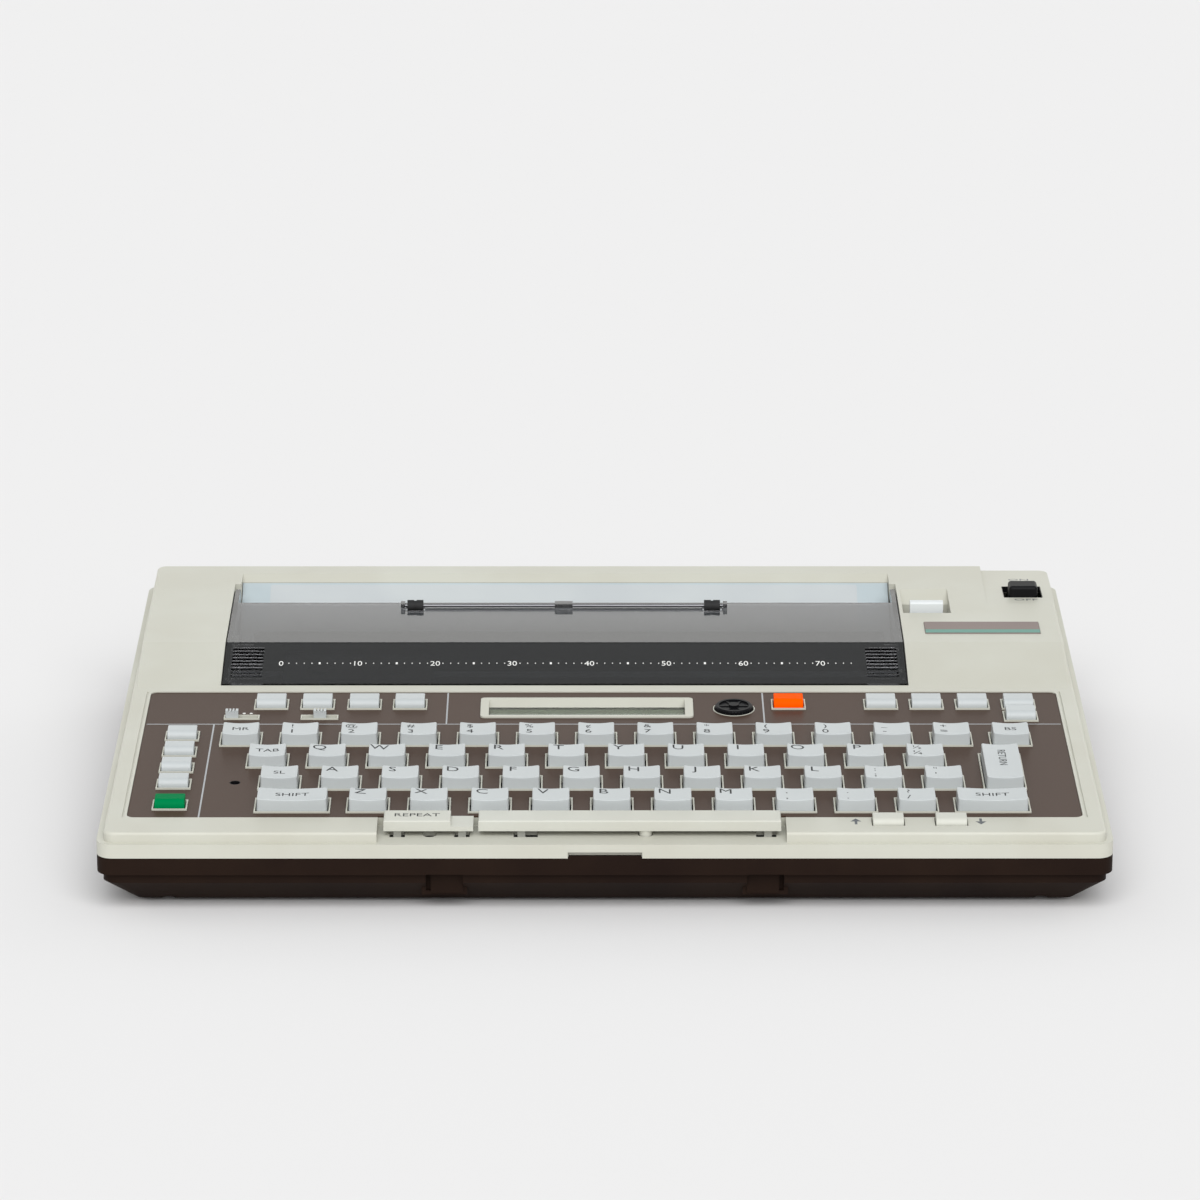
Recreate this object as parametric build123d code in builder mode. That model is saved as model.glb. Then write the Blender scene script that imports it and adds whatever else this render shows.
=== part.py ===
from build123d import *
from math import acos, atan2, cos, pi, radians, sin, sqrt, tan
import os

os.makedirs("parts", exist_ok=True)

# Portable electronic typewriter, in millimetres.
# Most of it is drawn in the frame of the keyboard deck: x to the right, u back along the deck and
# w square to the deck, with u = 0 and w = 0 at the front edge of the deck's top face.
# The deck leans forward, so the machine is a wedge that stands level on its rubber feet.

# Whole machine
CASE_WIDTH = 314.8
CASE_DEPTH = 238.1
DECK_TILT = 4.0
DECK_HEIGHT = 26.2
CASE_CORNER = 5.0
WALL = 2.2
FOOT_HEIGHT = 1.5

# Steps of the top cover's outline, from the seam up
SEAM_W = -8.0
LEDGE_W = -3.4
LEDGE_SIDE = 2.3
LEDGE_FRONT = 1.5
LEDGE_BACK = 1.4
DECK_CORNER = 3.2
HOUSING_INSET = 0.9
HOUSING_RISE = 4.8
SLOPE_FRONT = 126.5
SLOPE_BACK = 157.5
EDGE_ROUND = 0.9

# Bottom case
BAND_HEIGHT = 5.6
STEP_IN = 1.7
BELLY_IN = 9.5
BELLY_UP = 8.0
LATCH_X = 49.8
LATCH_SIZE = (11.5, 6.9)
LATCH_BACKING = 1.3
LATCH_STEP = (1.5, 1.4, 1.8)
LATCH_DEPTH = 3.4
LATCH_W = -16.9
NOTCH_WIDTH = 23.0
NOTCH_HEIGHT = 2.0
NOTCH_DEPTH = 1.3
NOTCH_TONGUE = 0.7

# Keyboard plate let into the deck
PLATE_HALF = 148.8
PLATE_FRONT = 12.7
PLATE_BACK = 123.4
PLATE_CORNER = 2.5
PLATE_THICK = 0.6
PLATE_SUNK = 0.3
PLATE_GAP = 0.12
EDGE_GROOVE = (0.8, 0.6, 0.4)

# Slot rims moulded on the deck, one round each key
RIM_WALL = 0.45
RIM_RISE = 0.5
KEY_GAP = 0.35

# Letter and number keys
KEY_PITCH = 19.05
FIRST_KEY = (-116.84, 80.0)
KEY_SIZE = (12.0, 10.4)
KEY_TOP = 4.2
KEY_CORNER = 0.9
KEY_TAPER = 2.0
KEY_WALL = 1.1
KEY_DISH_DEPTH = 0.55
KEY_ROUND = 0.3
KEY_SKIRT = -2.6
STEM_RADIUS = 1.6
STEM_END = -6.0
ROWS = ((0.0, 14), (0.5, 12), (0.75, 12), (2.25, 10))
SHIFT_WIDTH = 22.2
SHIFT_PITCHES = 1.24
RETURN_PITCHES = 1.01

# Small function keys above and to the left of the letter keys
FUNCTION_SIZE = (9.6, 7.1)
FUNCTION_TOP = 2.6
FUNCTION_ROUND = 2.1
FUNCTION_U = 111.7
FUNCTION_LEFT = (-108.6, -93.5, -78.2, -63.3)
FUNCTION_ORANGE = 60.4
FUNCTION_RIGHT = (90.6, 105.5, 120.5, 135.6)
FUNCTION_LAST_U = 100.8
COLUMN_X = -135.9
COLUMN_FRONT_U = 26.9
COLUMN_PITCH = 14.0
COLUMN_KEYS = 5
COLUMN_SIZE = (9.4, 6.5)
CODE_KEY_U = 23.2

# Bars in the front bay, and the two paper-feed keys beside it
BAY_X = (-70.6, 56.2)
BAY_BACK = 14.6
BAY_WALL = 1.4
BAR_FRONT = 4.9
BAR_BACK = 13.9
BAR_TOP = 2.0
BAR_SKIRT = -1.5
BAR_ROUND = 0.5
REPEAT_X = (-68.6, -47.8)
REPEAT_STEP_X = -40.8
REPEAT_STEP_TOP = 0.0
SPACE_X = (-39.2, 54.6)
REPEAT_STEMS = (-64.4, -44.3)
SPACE_STEMS = (-25.9, 50.6)
BAR_STEM = (2.4, 2.4)
BAR_STEM_U = 8.2
BAR_SLOT_U = (4.8, 9.75)
BAR_SLOTS = ((-66.8, -62.0), (-46.7, -41.9), (-28.3, -20.8), (46.9, 53.2))
BAR_HOLE = (-54.4, 2.3)
BAR_GUIDE = (12.6, 2.0)
GUIDE_FOOT_W = -4.2
FEED_X = (87.9, 107.5)
FEED_SIZE = (9.6, 5.9)
FEED_U = 9.0
FEED_TOP = 2.0

# Display, contrast dial, slide switches and lamp
DISPLAY_X = (-40.2, 29.2)
DISPLAY_U = (99.8, 117.4)
DISPLAY_WALL = 1.6
DISPLAY_CORNER = 1.5
WINDOW_W = -2.3
WINDOW_THICK = 1.0
WINDOW_LAP = 1.2
WINDOW_SEAT = 0.1
DISPLAY_THICK = 3.4
DIAL_AT = (42.5, 108.3)
DIAL_RADIUS = 6.2
DIAL_RISE = 1.1
DIAL_RIM = 0.3
DIAL_RIM_RISE = 0.12
DIAL_TEETH = 36
DIAL_NOTCH = 0.22
DIAL_SUNK = 0.5
DIAL_HUB = 1.7
DIAL_LIP = 1.3
DIAL_SPOKE = 0.7
DIAL_FACETS = 6
SWITCH_U = 99.9
SWITCH_SLOT = 2.5
SWITCH_KNOB = (4.1, 2.1)
SWITCH_KNOB_TOP = 2.6
SWITCH_RIDGES = 4
SWITCH_BODY_W = -4.6
SWITCH_SEAT = 0.25
SWITCH_END_GAP = 0.15
SWITCH_LEFT = (-123.1, -112.4)
SWITCH_RIGHT = (-98.1, -86.8)
SWITCH_RIGHT_REST = -92.3
LAMP_AT = (-116.7, 42.8)
LAMP_HOLE = 1.75
LAMP_SUNK = 1.9

# Print bay, its hinged cover and the paper bail on it
BAY_LEFT = -126.3
BAY_RIGHT = 100.7
BAY_FRONT = 128.4
BAY_LIP = 226.3
BAY_JOG_U = 215.6
BAY_SIDE_WALL = 1.2
BAY_WALL_W = -3.5
BAY_WALL_DEEP = (186.0, -7.0)
COVER_GAP = 0.5
COVER_THICK = 1.6
COVER_BACK = 196.0
COVER_SIDE_W = -3.5
COVER_GRIP = (10.4, 19.8)
GRIP_INSET = 2.4
GRIP_RIBS = 9
GRIP_RIB = 0.4
HINGE_U = 209.5
HINGE_W = 0.6
HINGE_PIN = 1.5
HINGE_ARM = 3.6
HINGE_FIT = 0.12
PIN_FIT = 0.05
BAIL_U = 191.0
BAIL_X = (-68.6, 42.2)
BAIL_RADIUS = 0.55
BAIL_W = 5.75
BAIL_TAB = (-16.3, -10.3)
ROLLERS_X = (-63.7, 37.1)
ROLLER_SIZE = (1.95, 5.4)
ROLLER_FIT = 0.05
ROLLER_GROOVE = (0.4, 0.25)

# Platen, paper guide and carriage
PLATEN_U = 181.0
PLATEN_W = -8.5
PLATEN_RADIUS = 7.0
PLATEN_X = (-118.0, 95.0)
SHAFT_RADIUS = 2.5
GUIDE_GAP = 1.2
GUIDE_THICK = 1.0
GUIDE_TOP = (222.4, 3.0)
GUIDE_TIP_U = 222.1
GUIDE_WING_U = 199.5
GUIDE_END = -125.0
GUIDE_SIDE_GAP = 0.2
GUIDE_RESTS = (-60.0, 40.0)
FRAME_LEFT = -124.7
FRAME_RIGHT = 132.2
FRAME_SHEET = 1.2
FRAME_BASE_W = -24.0
FRAME_U = (138.0, 198.0)
FRAME_TOP_W = -4.6
FRAME_POST = 3.0
SINK = 0.5
ROD_RADIUS = 2.0
ROD_FIT = 0.02
ROD_AT = (149.0, -16.0)
SCREW_AT = (163.0, -16.0)
CARRIAGE_X = (-104.0, -60.0)
CARRIAGE_U = (145.0, 167.6)
CARRIAGE_W = (-20.0, -9.2)
HEAD_X = (-107.0, -101.0)
HEAD_GAP = 1.0
HEAD_THICK = 1.6
HEAD_ARM_W = (-12.5, -9.7)
CASSETTE_X = (-107.0, -57.0)
CASSETTE_U = (141.0, 166.0)
CASSETTE_TOP = -3.9
SPOOL_IN = 13.0
SPOOL_RADIUS = 5.0

# Feed gears, and the two motors
GEAR_MODULE = 0.8
GEAR_TEETH = 24
PINION_TEETH = 12
GEAR_FACE = 3.0
GEAR_X = 134.4
GEAR_BACKLASH = 0.12
GEAR_SPACE = 2.4
PRESSURE_ANGLE = 20.0
FLANK_STEPS = 4
PINION_TURN = 217.0
MOTOR_RADIUS = 9.0
MOTOR_LENGTH = 11.0
MOTOR_SHAFT = 1.0
BRACKET_HALF = 11.0
BRACKET_DOWN = 6.0

# Release lever, power switch and bare plate at the right
LEVER_POCKET_X = (101.9, 118.1)
LEVER_POCKET_U = (186.3, 210.4)
LEVER_SLOPE_END = (203.0, 1.8)
LEVER_X = (104.3, 115.5)
LEVER_AT = (191.5, -5.5)
LEVER_TOP = 7.8
LEVER_THICK = 3.0
LEVER_SHAFT = 1.2
LEVER_HUB = 2.0
POWER_X = (137.2, 150.5)
POWER_U = (202.6, 216.0)
POWER_KNOB = (9.8, 7.2)
POWER_TOP = 8.2
POWER_ROUND = 1.1
POWER_LIP = 2.0
POWER_WING = (1.5, 1.0)
POWER_BODY_U = (198.6, 216.0)
POWER_BODY_W = (-9.0, -2.5)
SHOULDER_X = 131.0
SHOULDER_U = 196.0
SHOULDER_DROP = 1.9
PLATE_X = (108.2, 147.1)
PLATE_U = (165.6, 176.8)
BADGE_THICK = 0.8
BADGE_SUNK = 0.4

# Boards under the keys and on the floor of the case
BOARD_THICK = 1.6
KEY_BOARD_W = -11.0
KEY_BOARD_HALF = 149.5
KEY_BOARD_U = (4.0, 119.5)
HANGER_INSET = 3.2
HANGER_RADIUS = 2.2
HANGER_US = (16.0, 66.0, 116.0)
SHEET_THICK = 1.0
SHEET_HALF = 143.2
DOME_RADIUS = 3.2
DOME_GAP = 0.3
MAIN_BOARD_HALF = 108.0
MAIN_BOARD_U = (20.0, 188.0)
MAIN_BOARD_Z = 7.0
CHIP_SIZE = (36.0, 14.0, 3.0)
CHIP_SPOTS = [(-70, -60), (-20, -60), (35, -60), (-70, 0), (-10, 0)]
CAPACITOR_SIZE = (4.0, 3.2)
CAPACITOR_SPOTS = [(70, 0), (84, 0), (70, 13)]
CONNECTOR_SIZE = (32.0, 6.0, 3.0)
CONNECTOR_XS = (-100.0, 60.0)

# Battery bay for four C cells in a row, its door and its contacts
CELL_DIAMETER = 26.2
CELL_LENGTH = 50.0
CELL_COUNT = 4
BATTERY_ROOM = 10.0
BATTERY_WALL = 1.3
BATTERY_FRONT = 203.0
CONTACT_THICK = 0.6
CONTACT_HALF = 7.0
SPRING_RADII = (2.2, 3.2)
SPRING_LENGTH = 6.0
DOOR_THICK = 1.8
DOOR_GAP = 0.3
DOOR_FLANGE = 4.0
DOOR_LEDGE = 2.0

# Power inlet, feet and screws
JACK_X = 121.0
JACK_Z = 20.0
JACK_HOLE = 4.7
JACK_BORE = 2.85
JACK_PIN = 1.05
JACK_DEPTH = 10.0
JACK_BODY = (10.0, 13.0, 11.0)
FOOT_RADIUS = 5.5
FOOT_X = 128.0
FOOT_Y = 92.0
SCREW_X = 136.0
SCREW_US = (12.0, 124.5, 220.5)
BOSS_RADIUS = 3.6
SCREW_RADIUS = 1.4
SCREW_HEAD = 2.7
SCREW_HEAD_THICK = 2.0
SCREW_FIT = 0.2
CROSS_SLOT = (4.0, 0.7)
SCREW_LENGTH = 12.0
SCREW_SINK = 5.0
SCREW_SPLIT = 16.0
BOSS_TOPS = (-1.2, -1.2, 3.0)

# Places worked out from the sizes above
tilt = radians(DECK_TILT)
case_half = CASE_WIDTH / 2
case_front = -LEDGE_FRONT
case_back = case_front + CASE_DEPTH
front_y = case_front * cos(tilt) - LEDGE_W * sin(tilt)
back_y = case_back * cos(tilt) - (SEAM_W - BAND_HEIGHT) * sin(tilt)
deck_y = -(front_y + back_y) / 2
deck = Plane(origin=(0, deck_y, DECK_HEIGHT), x_dir=(1, 0, 0), z_dir=(0, -sin(tilt), cos(tilt)))
side = Plane(origin=deck.origin, x_dir=deck.y_dir, z_dir=(1, 0, 0))
front = Plane(origin=deck.origin, x_dir=(1, 0, 0), z_dir=-deck.y_dir)
deck_half = case_half - LEDGE_SIDE
deck_back = case_back - LEDGE_BACK
housing_half = deck_half - HOUSING_INSET
floor_z = FOOT_HEIGHT + WALL
key_board_top = KEY_BOARD_W + BOARD_THICK
sheet_top = key_board_top + SHEET_THICK
plate_top = -PLATE_SUNK
plate_bed = plate_top - PLATE_THICK
rim_top = plate_top + RIM_RISE
cover_left = BAY_LEFT + COVER_GAP
cover_right = BAY_RIGHT - COVER_GAP
bay_back_x = (cover_left + COVER_THICK, cover_right - COVER_THICK)


def to_world(u, w):
    """Row-frame y and z of a point of the deck frame."""
    return deck_y + u * cos(tilt) - w * sin(tilt), DECK_HEIGHT + u * sin(tilt) + w * cos(tilt)


def w_at(u, z):
    """Level above the deck of a point u back along it and z above the table."""
    return (z - DECK_HEIGHT - u * sin(tilt)) / cos(tilt)


lower_w = SEAM_W - BAND_HEIGHT
lower_front_y = to_world(case_front + STEP_IN, lower_w)[0]
lower_back_y = to_world(case_back - STEP_IN, lower_w)[0]
screw_ys = [to_world(u, w_at(u, SCREW_SPLIT))[0] for u in SCREW_US]
screw_spots = [(x, y) for x in (-SCREW_X, SCREW_X) for y in screw_ys]
screw_head_z = FOOT_HEIGHT + SCREW_SINK


def slab(x_span, u_span, w_span, mode=Mode.ADD, plane=deck):
    """Block between two values on each axis of a plane."""
    middle = tuple((low + high) / 2 for low, high in (x_span, u_span, w_span))
    with Locations(plane.location * Location(middle)):
        Box(x_span[1] - x_span[0], u_span[1] - u_span[0], w_span[1] - w_span[0], mode=mode)


def post(spots, radius, w_span, mode=Mode.ADD, plane=deck):
    """Round posts, or holes, square to a plane."""
    middle = (w_span[0] + w_span[1]) / 2
    with Locations(*[plane.location * Location((x, u, middle)) for x, u in spots]):
        Cylinder(radius, w_span[1] - w_span[0], mode=mode)


def rod(x_span, at, radius, mode=Mode.ADD):
    """Round bar, or bore, along x in the deck frame."""
    with Locations(deck.location * Location(((x_span[0] + x_span[1]) / 2, at[0], at[1]))):
        Cylinder(radius, x_span[1] - x_span[0], rotation=(0, 90, 0), mode=mode)


def side_prism(points, x_span, mode=Mode.ADD):
    """Outline of (u, w) points drawn out along x."""
    with BuildSketch(side.offset(x_span[0])) as outline:
        Polygon(*points, align=None)
    extrude(outline.sketch, amount=x_span[1] - x_span[0], mode=mode)


def save(piece, name):
    """Label a finished piece and write it under its name."""
    piece.part.label = name
    export_step(piece.part, f"parts/{name}.step")


def key_spot(row, column):
    """Centre of a key of the letter rows."""
    x = FIRST_KEY[0] + (ROWS[row][0] + column) * KEY_PITCH
    return x, FIRST_KEY[1] - row * KEY_PITCH


row_spots = [[key_spot(row, column) for column in range(count)] for row, (_, count) in enumerate(ROWS)]
shift_left = (row_spots[3][0][0] - SHIFT_PITCHES * KEY_PITCH, row_spots[3][0][1])
shift_right = (row_spots[3][-1][0] + SHIFT_PITCHES * KEY_PITCH, row_spots[3][0][1])
shift_size = (SHIFT_WIDTH, KEY_SIZE[1])
return_spot = (row_spots[2][-1][0] + RETURN_PITCHES * KEY_PITCH, row_spots[2][0][1] + KEY_PITCH / 2)
return_size = (KEY_SIZE[0], KEY_SIZE[1] + KEY_PITCH)
column_spots = [(COLUMN_X, CODE_KEY_U)]
column_spots += [(COLUMN_X, COLUMN_FRONT_U + COLUMN_PITCH * count) for count in range(1, COLUMN_KEYS)]
function_spots = [(x, FUNCTION_U) for x in FUNCTION_LEFT]
function_spots += [(FUNCTION_ORANGE, FUNCTION_U)]
function_spots += [(x, FUNCTION_U) for x in FUNCTION_RIGHT]
function_spots += [(FUNCTION_RIGHT[-1], FUNCTION_LAST_U)]
feed_spots = [(x, FEED_U) for x in FEED_X]

# Every slot of the deck that has a rim: centre, then size of what stands in it
letter_slots = [(spot, KEY_SIZE) for spots in row_spots for spot in spots]
letter_slots += [(shift_left, shift_size), (shift_right, shift_size), (return_spot, return_size)]
small_slots = [(spot, FUNCTION_SIZE) for spot in function_spots]
small_slots += [(spot, COLUMN_SIZE) for spot in column_spots]
key_slots = letter_slots + small_slots
switch_slots = [((sum(x_span) / 2, SWITCH_U), (x_span[1] - x_span[0] - 2 * KEY_GAP, SWITCH_SLOT - 2 * KEY_GAP))
                for x_span in (SWITCH_LEFT, SWITCH_RIGHT)]
rim_slots = key_slots + switch_slots


def rectangles(slots, grow):
    """Rectangles round the keys of some slots, larger than the key by grow on each side."""
    for spot, size in slots:
        with Locations(spot):
            Rectangle(size[0] + 2 * grow, size[1] + 2 * grow)


def display_outline(grow):
    """Outline of the frame round the display, larger by grow on each side."""
    with Locations(((DISPLAY_X[0] + DISPLAY_X[1]) / 2, (DISPLAY_U[0] + DISPLAY_U[1]) / 2)):
        RectangleRounded(DISPLAY_X[1] - DISPLAY_X[0] + 2 * grow, DISPLAY_U[1] - DISPLAY_U[0] + 2 * grow,
                         DISPLAY_CORNER + grow)


# Raised rear housing of the top cover, with its long upper edges and its ends rounded
housing_back = deck_back - HOUSING_INSET / 2
shoulder_back_w = HOUSING_RISE - SHOULDER_DROP * (case_back - SHOULDER_U) / (deck_back - SHOULDER_U)
with BuildPart() as housing:
    side_prism(
        [(SLOPE_FRONT, LEDGE_W), (SLOPE_FRONT, 0), (SLOPE_BACK, HOUSING_RISE), (housing_back, HOUSING_RISE),
         (housing_back, LEDGE_W)],
        (-housing_half, housing_half),
    )
    back_corners = housing.edges().filter_by(lambda edge: edge.length < HOUSING_RISE - LEDGE_W + 0.01
                                             and deck.to_local_coords(edge.center()).Y > housing_back - 0.01)
    fillet(back_corners, DECK_CORNER)
    upper_edges = housing.edges().filter_by(
        lambda edge: deck.to_local_coords(edge.center()).Z > 0.3
        and (abs(edge.center().X) > housing_half - DECK_CORNER
             or deck.to_local_coords(edge.center()).Y > housing_back - DECK_CORNER)
    )
    fillet(upper_edges, EDGE_ROUND)

# Top cover: seam band, ledge for the carrying lid, deck and raised rear housing
with BuildPart() as top_cover:
    with BuildSketch(deck.offset(SEAM_W)):
        with Locations((0, (case_front + case_back) / 2)):
            RectangleRounded(CASE_WIDTH, CASE_DEPTH, CASE_CORNER)
    extrude(amount=LEDGE_W - SEAM_W)
    with BuildSketch(deck.offset(LEDGE_W)):
        with Locations((0, deck_back / 2)):
            RectangleRounded(2 * deck_half, deck_back, DECK_CORNER)
    extrude(amount=-LEDGE_W)
    rim_edges = top_cover.faces().sort_by(lambda face: face.center().dot(deck.z_dir))[-1].edges()
    fillet(rim_edges, EDGE_ROUND)
    add(housing.part)
    side_prism(
        [(SHOULDER_U, HOUSING_RISE), (case_back, HOUSING_RISE + 1), (case_back, shoulder_back_w)],
        (SHOULDER_X, case_half), Mode.SUBTRACT,
    )
    # Hollow under the deck, then under the housing
    slab((-deck_half + WALL, deck_half - WALL), (WALL, deck_back - WALL - 0.2), (SEAM_W - 1, -WALL),
         Mode.SUBTRACT)
    slab((-case_half + WALL, case_half - WALL), (case_front + WALL, case_back - WALL),
         (SEAM_W - 1, LEDGE_W - WALL), Mode.SUBTRACT)
    side_prism(
        [(SLOPE_FRONT + WALL, SEAM_W), (SLOPE_FRONT + WALL, -WALL), (SLOPE_BACK + 0.4, HOUSING_RISE - WALL),
         (housing_back - WALL, HOUSING_RISE - WALL), (housing_back - WALL, SEAM_W)],
        (-housing_half + WALL, SHOULDER_X - WALL), Mode.SUBTRACT,
    )
    side_prism(
        [(SLOPE_FRONT + WALL, SEAM_W), (SLOPE_FRONT + WALL, -WALL), (SLOPE_BACK + 0.4, HOUSING_RISE - WALL),
         (SHOULDER_U, HOUSING_RISE - WALL), (housing_back - WALL, shoulder_back_w - WALL),
         (housing_back - WALL, SEAM_W)],
        (SHOULDER_X - WALL - 1, housing_half - WALL), Mode.SUBTRACT,
    )
    # Bed of the keyboard plate
    with BuildSketch(deck.offset(plate_bed)):
        with Locations((0, (PLATE_FRONT + PLATE_BACK) / 2)):
            RectangleRounded(2 * PLATE_HALF, PLATE_BACK - PLATE_FRONT, PLATE_CORNER)
    extrude(amount=-plate_bed + 1, mode=Mode.SUBTRACT)
    # Fine groove in the deck beside each end of the plate
    for x_edge in (-PLATE_HALF - EDGE_GROOVE[0] - EDGE_GROOVE[1], PLATE_HALF + EDGE_GROOVE[0]):
        slab((x_edge, x_edge + EDGE_GROOVE[1]), (PLATE_FRONT, PLATE_BACK), (-EDGE_GROOVE[2], 1), Mode.SUBTRACT)
    # Front bay that the bars stand in
    slab(BAY_X, (case_front - 1, BAY_BACK), (LEDGE_W, 1), Mode.SUBTRACT)
    bay_outer_x = (BAY_X[0] - BAY_WALL, BAY_X[1] + BAY_WALL)
    slab(bay_outer_x, (WALL - SINK, BAY_BACK + BAY_WALL), (LEDGE_W - BAY_WALL, LEDGE_W))
    slab(bay_outer_x, (BAY_BACK, BAY_BACK + BAY_WALL), (LEDGE_W, plate_bed))
    for x_wall in (BAY_X[0] - BAY_WALL, BAY_X[1]):
        slab((x_wall, x_wall + BAY_WALL), (WALL - SINK, BAY_BACK + BAY_WALL), (LEDGE_W, -WALL + 0.2))
    # Stem slots and round holes in the floor of the bay
    for x_slot in BAR_SLOTS:
        slab(x_slot, BAR_SLOT_U, (LEDGE_W - BAY_WALL - 1, LEDGE_W + 1), Mode.SUBTRACT)
    for x, radius in (BAR_HOLE, (BAR_GUIDE[0], BAR_GUIDE[1] + KEY_GAP)):
        post([(x, BAR_SLOT_U[0] + radius)], radius, (LEDGE_W - BAY_WALL - 1, LEDGE_W + 1), Mode.SUBTRACT)
    # Rims and slots of the keys and the slide switches
    with BuildSketch(deck.offset(plate_bed)):
        rectangles(rim_slots, KEY_GAP + RIM_WALL)
    extrude(amount=rim_top - plate_bed)
    with BuildSketch(deck.offset(-WALL - 1)):
        rectangles(rim_slots, KEY_GAP)
        rectangles([(spot, FEED_SIZE) for spot in feed_spots], KEY_GAP)
    extrude(amount=rim_top + WALL + 2, mode=Mode.SUBTRACT)
    # Raised frame round the display, with a sloping back wall
    with BuildSketch(deck.offset(plate_bed)):
        display_outline(0)
    extrude(amount=rim_top - plate_bed)
    window_x = (DISPLAY_X[0] + DISPLAY_WALL + 1.1, DISPLAY_X[1] - DISPLAY_WALL - 1.1)
    window_u = (DISPLAY_U[0] + DISPLAY_WALL, DISPLAY_U[1] - 2 * DISPLAY_WALL)
    side_prism(
        [(window_u[0], rim_top + 1), (window_u[0], -WALL - 1), (window_u[1], -WALL - 1),
         (DISPLAY_U[1] - DISPLAY_WALL, rim_top + 1)],
        window_x, Mode.SUBTRACT,
    )
    # Holes for the dial and the lamp
    post([DIAL_AT], DIAL_RADIUS + KEY_GAP + DIAL_RIM, (plate_bed, plate_top + DIAL_RIM_RISE))
    post([DIAL_AT], DIAL_RADIUS + KEY_GAP, (-WALL - 1, rim_top + 1), Mode.SUBTRACT)
    post([LAMP_AT], LAMP_HOLE, (-WALL - 1, 1), Mode.SUBTRACT)
    # Print bay: the opening, its side walls and the bevelled lip behind it
    slab((BAY_LEFT, BAY_RIGHT), (BAY_FRONT, BAY_JOG_U), (SEAM_W - 1, HOUSING_RISE + 1), Mode.SUBTRACT)
    slab(bay_back_x, (BAY_JOG_U - 1, GUIDE_TOP[0]), (SEAM_W - 1, HOUSING_RISE + 1), Mode.SUBTRACT)
    side_prism(
        [(GUIDE_TOP[0] - 1, GUIDE_TOP[1]), (GUIDE_TOP[0], GUIDE_TOP[1]), (BAY_LIP, HOUSING_RISE),
         (BAY_LIP, HOUSING_RISE + 1), (GUIDE_TOP[0] - 1, HOUSING_RISE + 1)],
        bay_back_x, Mode.SUBTRACT,
    )
    for x_jog in ((BAY_LEFT - 0.1, bay_back_x[0]), (bay_back_x[1], BAY_RIGHT + 0.1)):
        slab(x_jog, (BAY_JOG_U, GUIDE_TOP[0] + BAY_SIDE_WALL), (BAY_WALL_DEEP[1], HOUSING_RISE - WALL + 0.4))
    for x_wall in (BAY_LEFT - BAY_SIDE_WALL, BAY_RIGHT):
        side_prism(
            [(SLOPE_FRONT + WALL - 0.5, -WALL + 0.4), (SLOPE_BACK, HOUSING_RISE - WALL + 0.4),
             (GUIDE_TOP[0], HOUSING_RISE - WALL + 0.4), (GUIDE_TOP[0], BAY_WALL_DEEP[1]), BAY_WALL_DEEP,
             (BAY_WALL_DEEP[0], BAY_WALL_W), (SLOPE_FRONT + WALL - 0.5, BAY_WALL_W)],
            (x_wall, x_wall + BAY_SIDE_WALL),
        )
    # Pocket of the release lever, with its sloping back
    slab((LEVER_POCKET_X[0] - 0.1, LEVER_POCKET_X[1] + BAY_SIDE_WALL),
         (LEVER_POCKET_U[0] - BAY_SIDE_WALL, LEVER_POCKET_U[1] + BAY_SIDE_WALL), (LEDGE_W, HOUSING_RISE - 0.5))
    side_prism(
        [(LEVER_POCKET_U[0], LEDGE_W - 1), (LEVER_POCKET_U[0], HOUSING_RISE + 1),
         (LEVER_POCKET_U[1], HOUSING_RISE + 1), (LEVER_POCKET_U[1], HOUSING_RISE), LEVER_SLOPE_END,
         (LEVER_SLOPE_END[0], LEDGE_W - 1)],
        LEVER_POCKET_X, Mode.SUBTRACT,
    )
    # Bores for the pins of the print cover
    for x_bore in ((BAY_LEFT - BAY_SIDE_WALL - 1, BAY_LEFT), (BAY_RIGHT, BAY_RIGHT + BAY_SIDE_WALL + 1)):
        rod(x_bore, (HINGE_U, HINGE_W), HINGE_PIN + HINGE_FIT, Mode.SUBTRACT)
    # Aperture of the power switch, and the bed of the bare plate
    slab(POWER_X, POWER_U, (-1, HOUSING_RISE + 1), Mode.SUBTRACT)
    slab(PLATE_X, PLATE_U, (HOUSING_RISE - BADGE_SUNK, HOUSING_RISE + 1), Mode.SUBTRACT)
    # Finger notch in the lower edge of the front band
    slab((-NOTCH_WIDTH / 2, NOTCH_WIDTH / 2), (case_front - 1, case_front + NOTCH_DEPTH),
         (SEAM_W - 1, SEAM_W + NOTCH_HEIGHT), Mode.SUBTRACT)
    # Hangers for the keyboard board
    post_x = KEY_BOARD_HALF - HANGER_INSET
    board_posts = [(x, u) for x in (-post_x, post_x) for u in HANGER_US]
    post(board_posts, HANGER_RADIUS, (key_board_top, -1.0))
    # Bosses that the case screws are driven into
    for u, y, top in zip(SCREW_US, screw_ys, BOSS_TOPS):
        post([(-SCREW_X, y), (SCREW_X, y)], BOSS_RADIUS, (SCREW_SPLIT, to_world(u, top)[1]), plane=Plane.XY)
    post(screw_spots, SCREW_RADIUS + PIN_FIT, (SCREW_SPLIT - 1, screw_head_z + SCREW_LENGTH + 1),
         Mode.SUBTRACT, Plane.XY)
save(top_cover, "top_cover")


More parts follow.
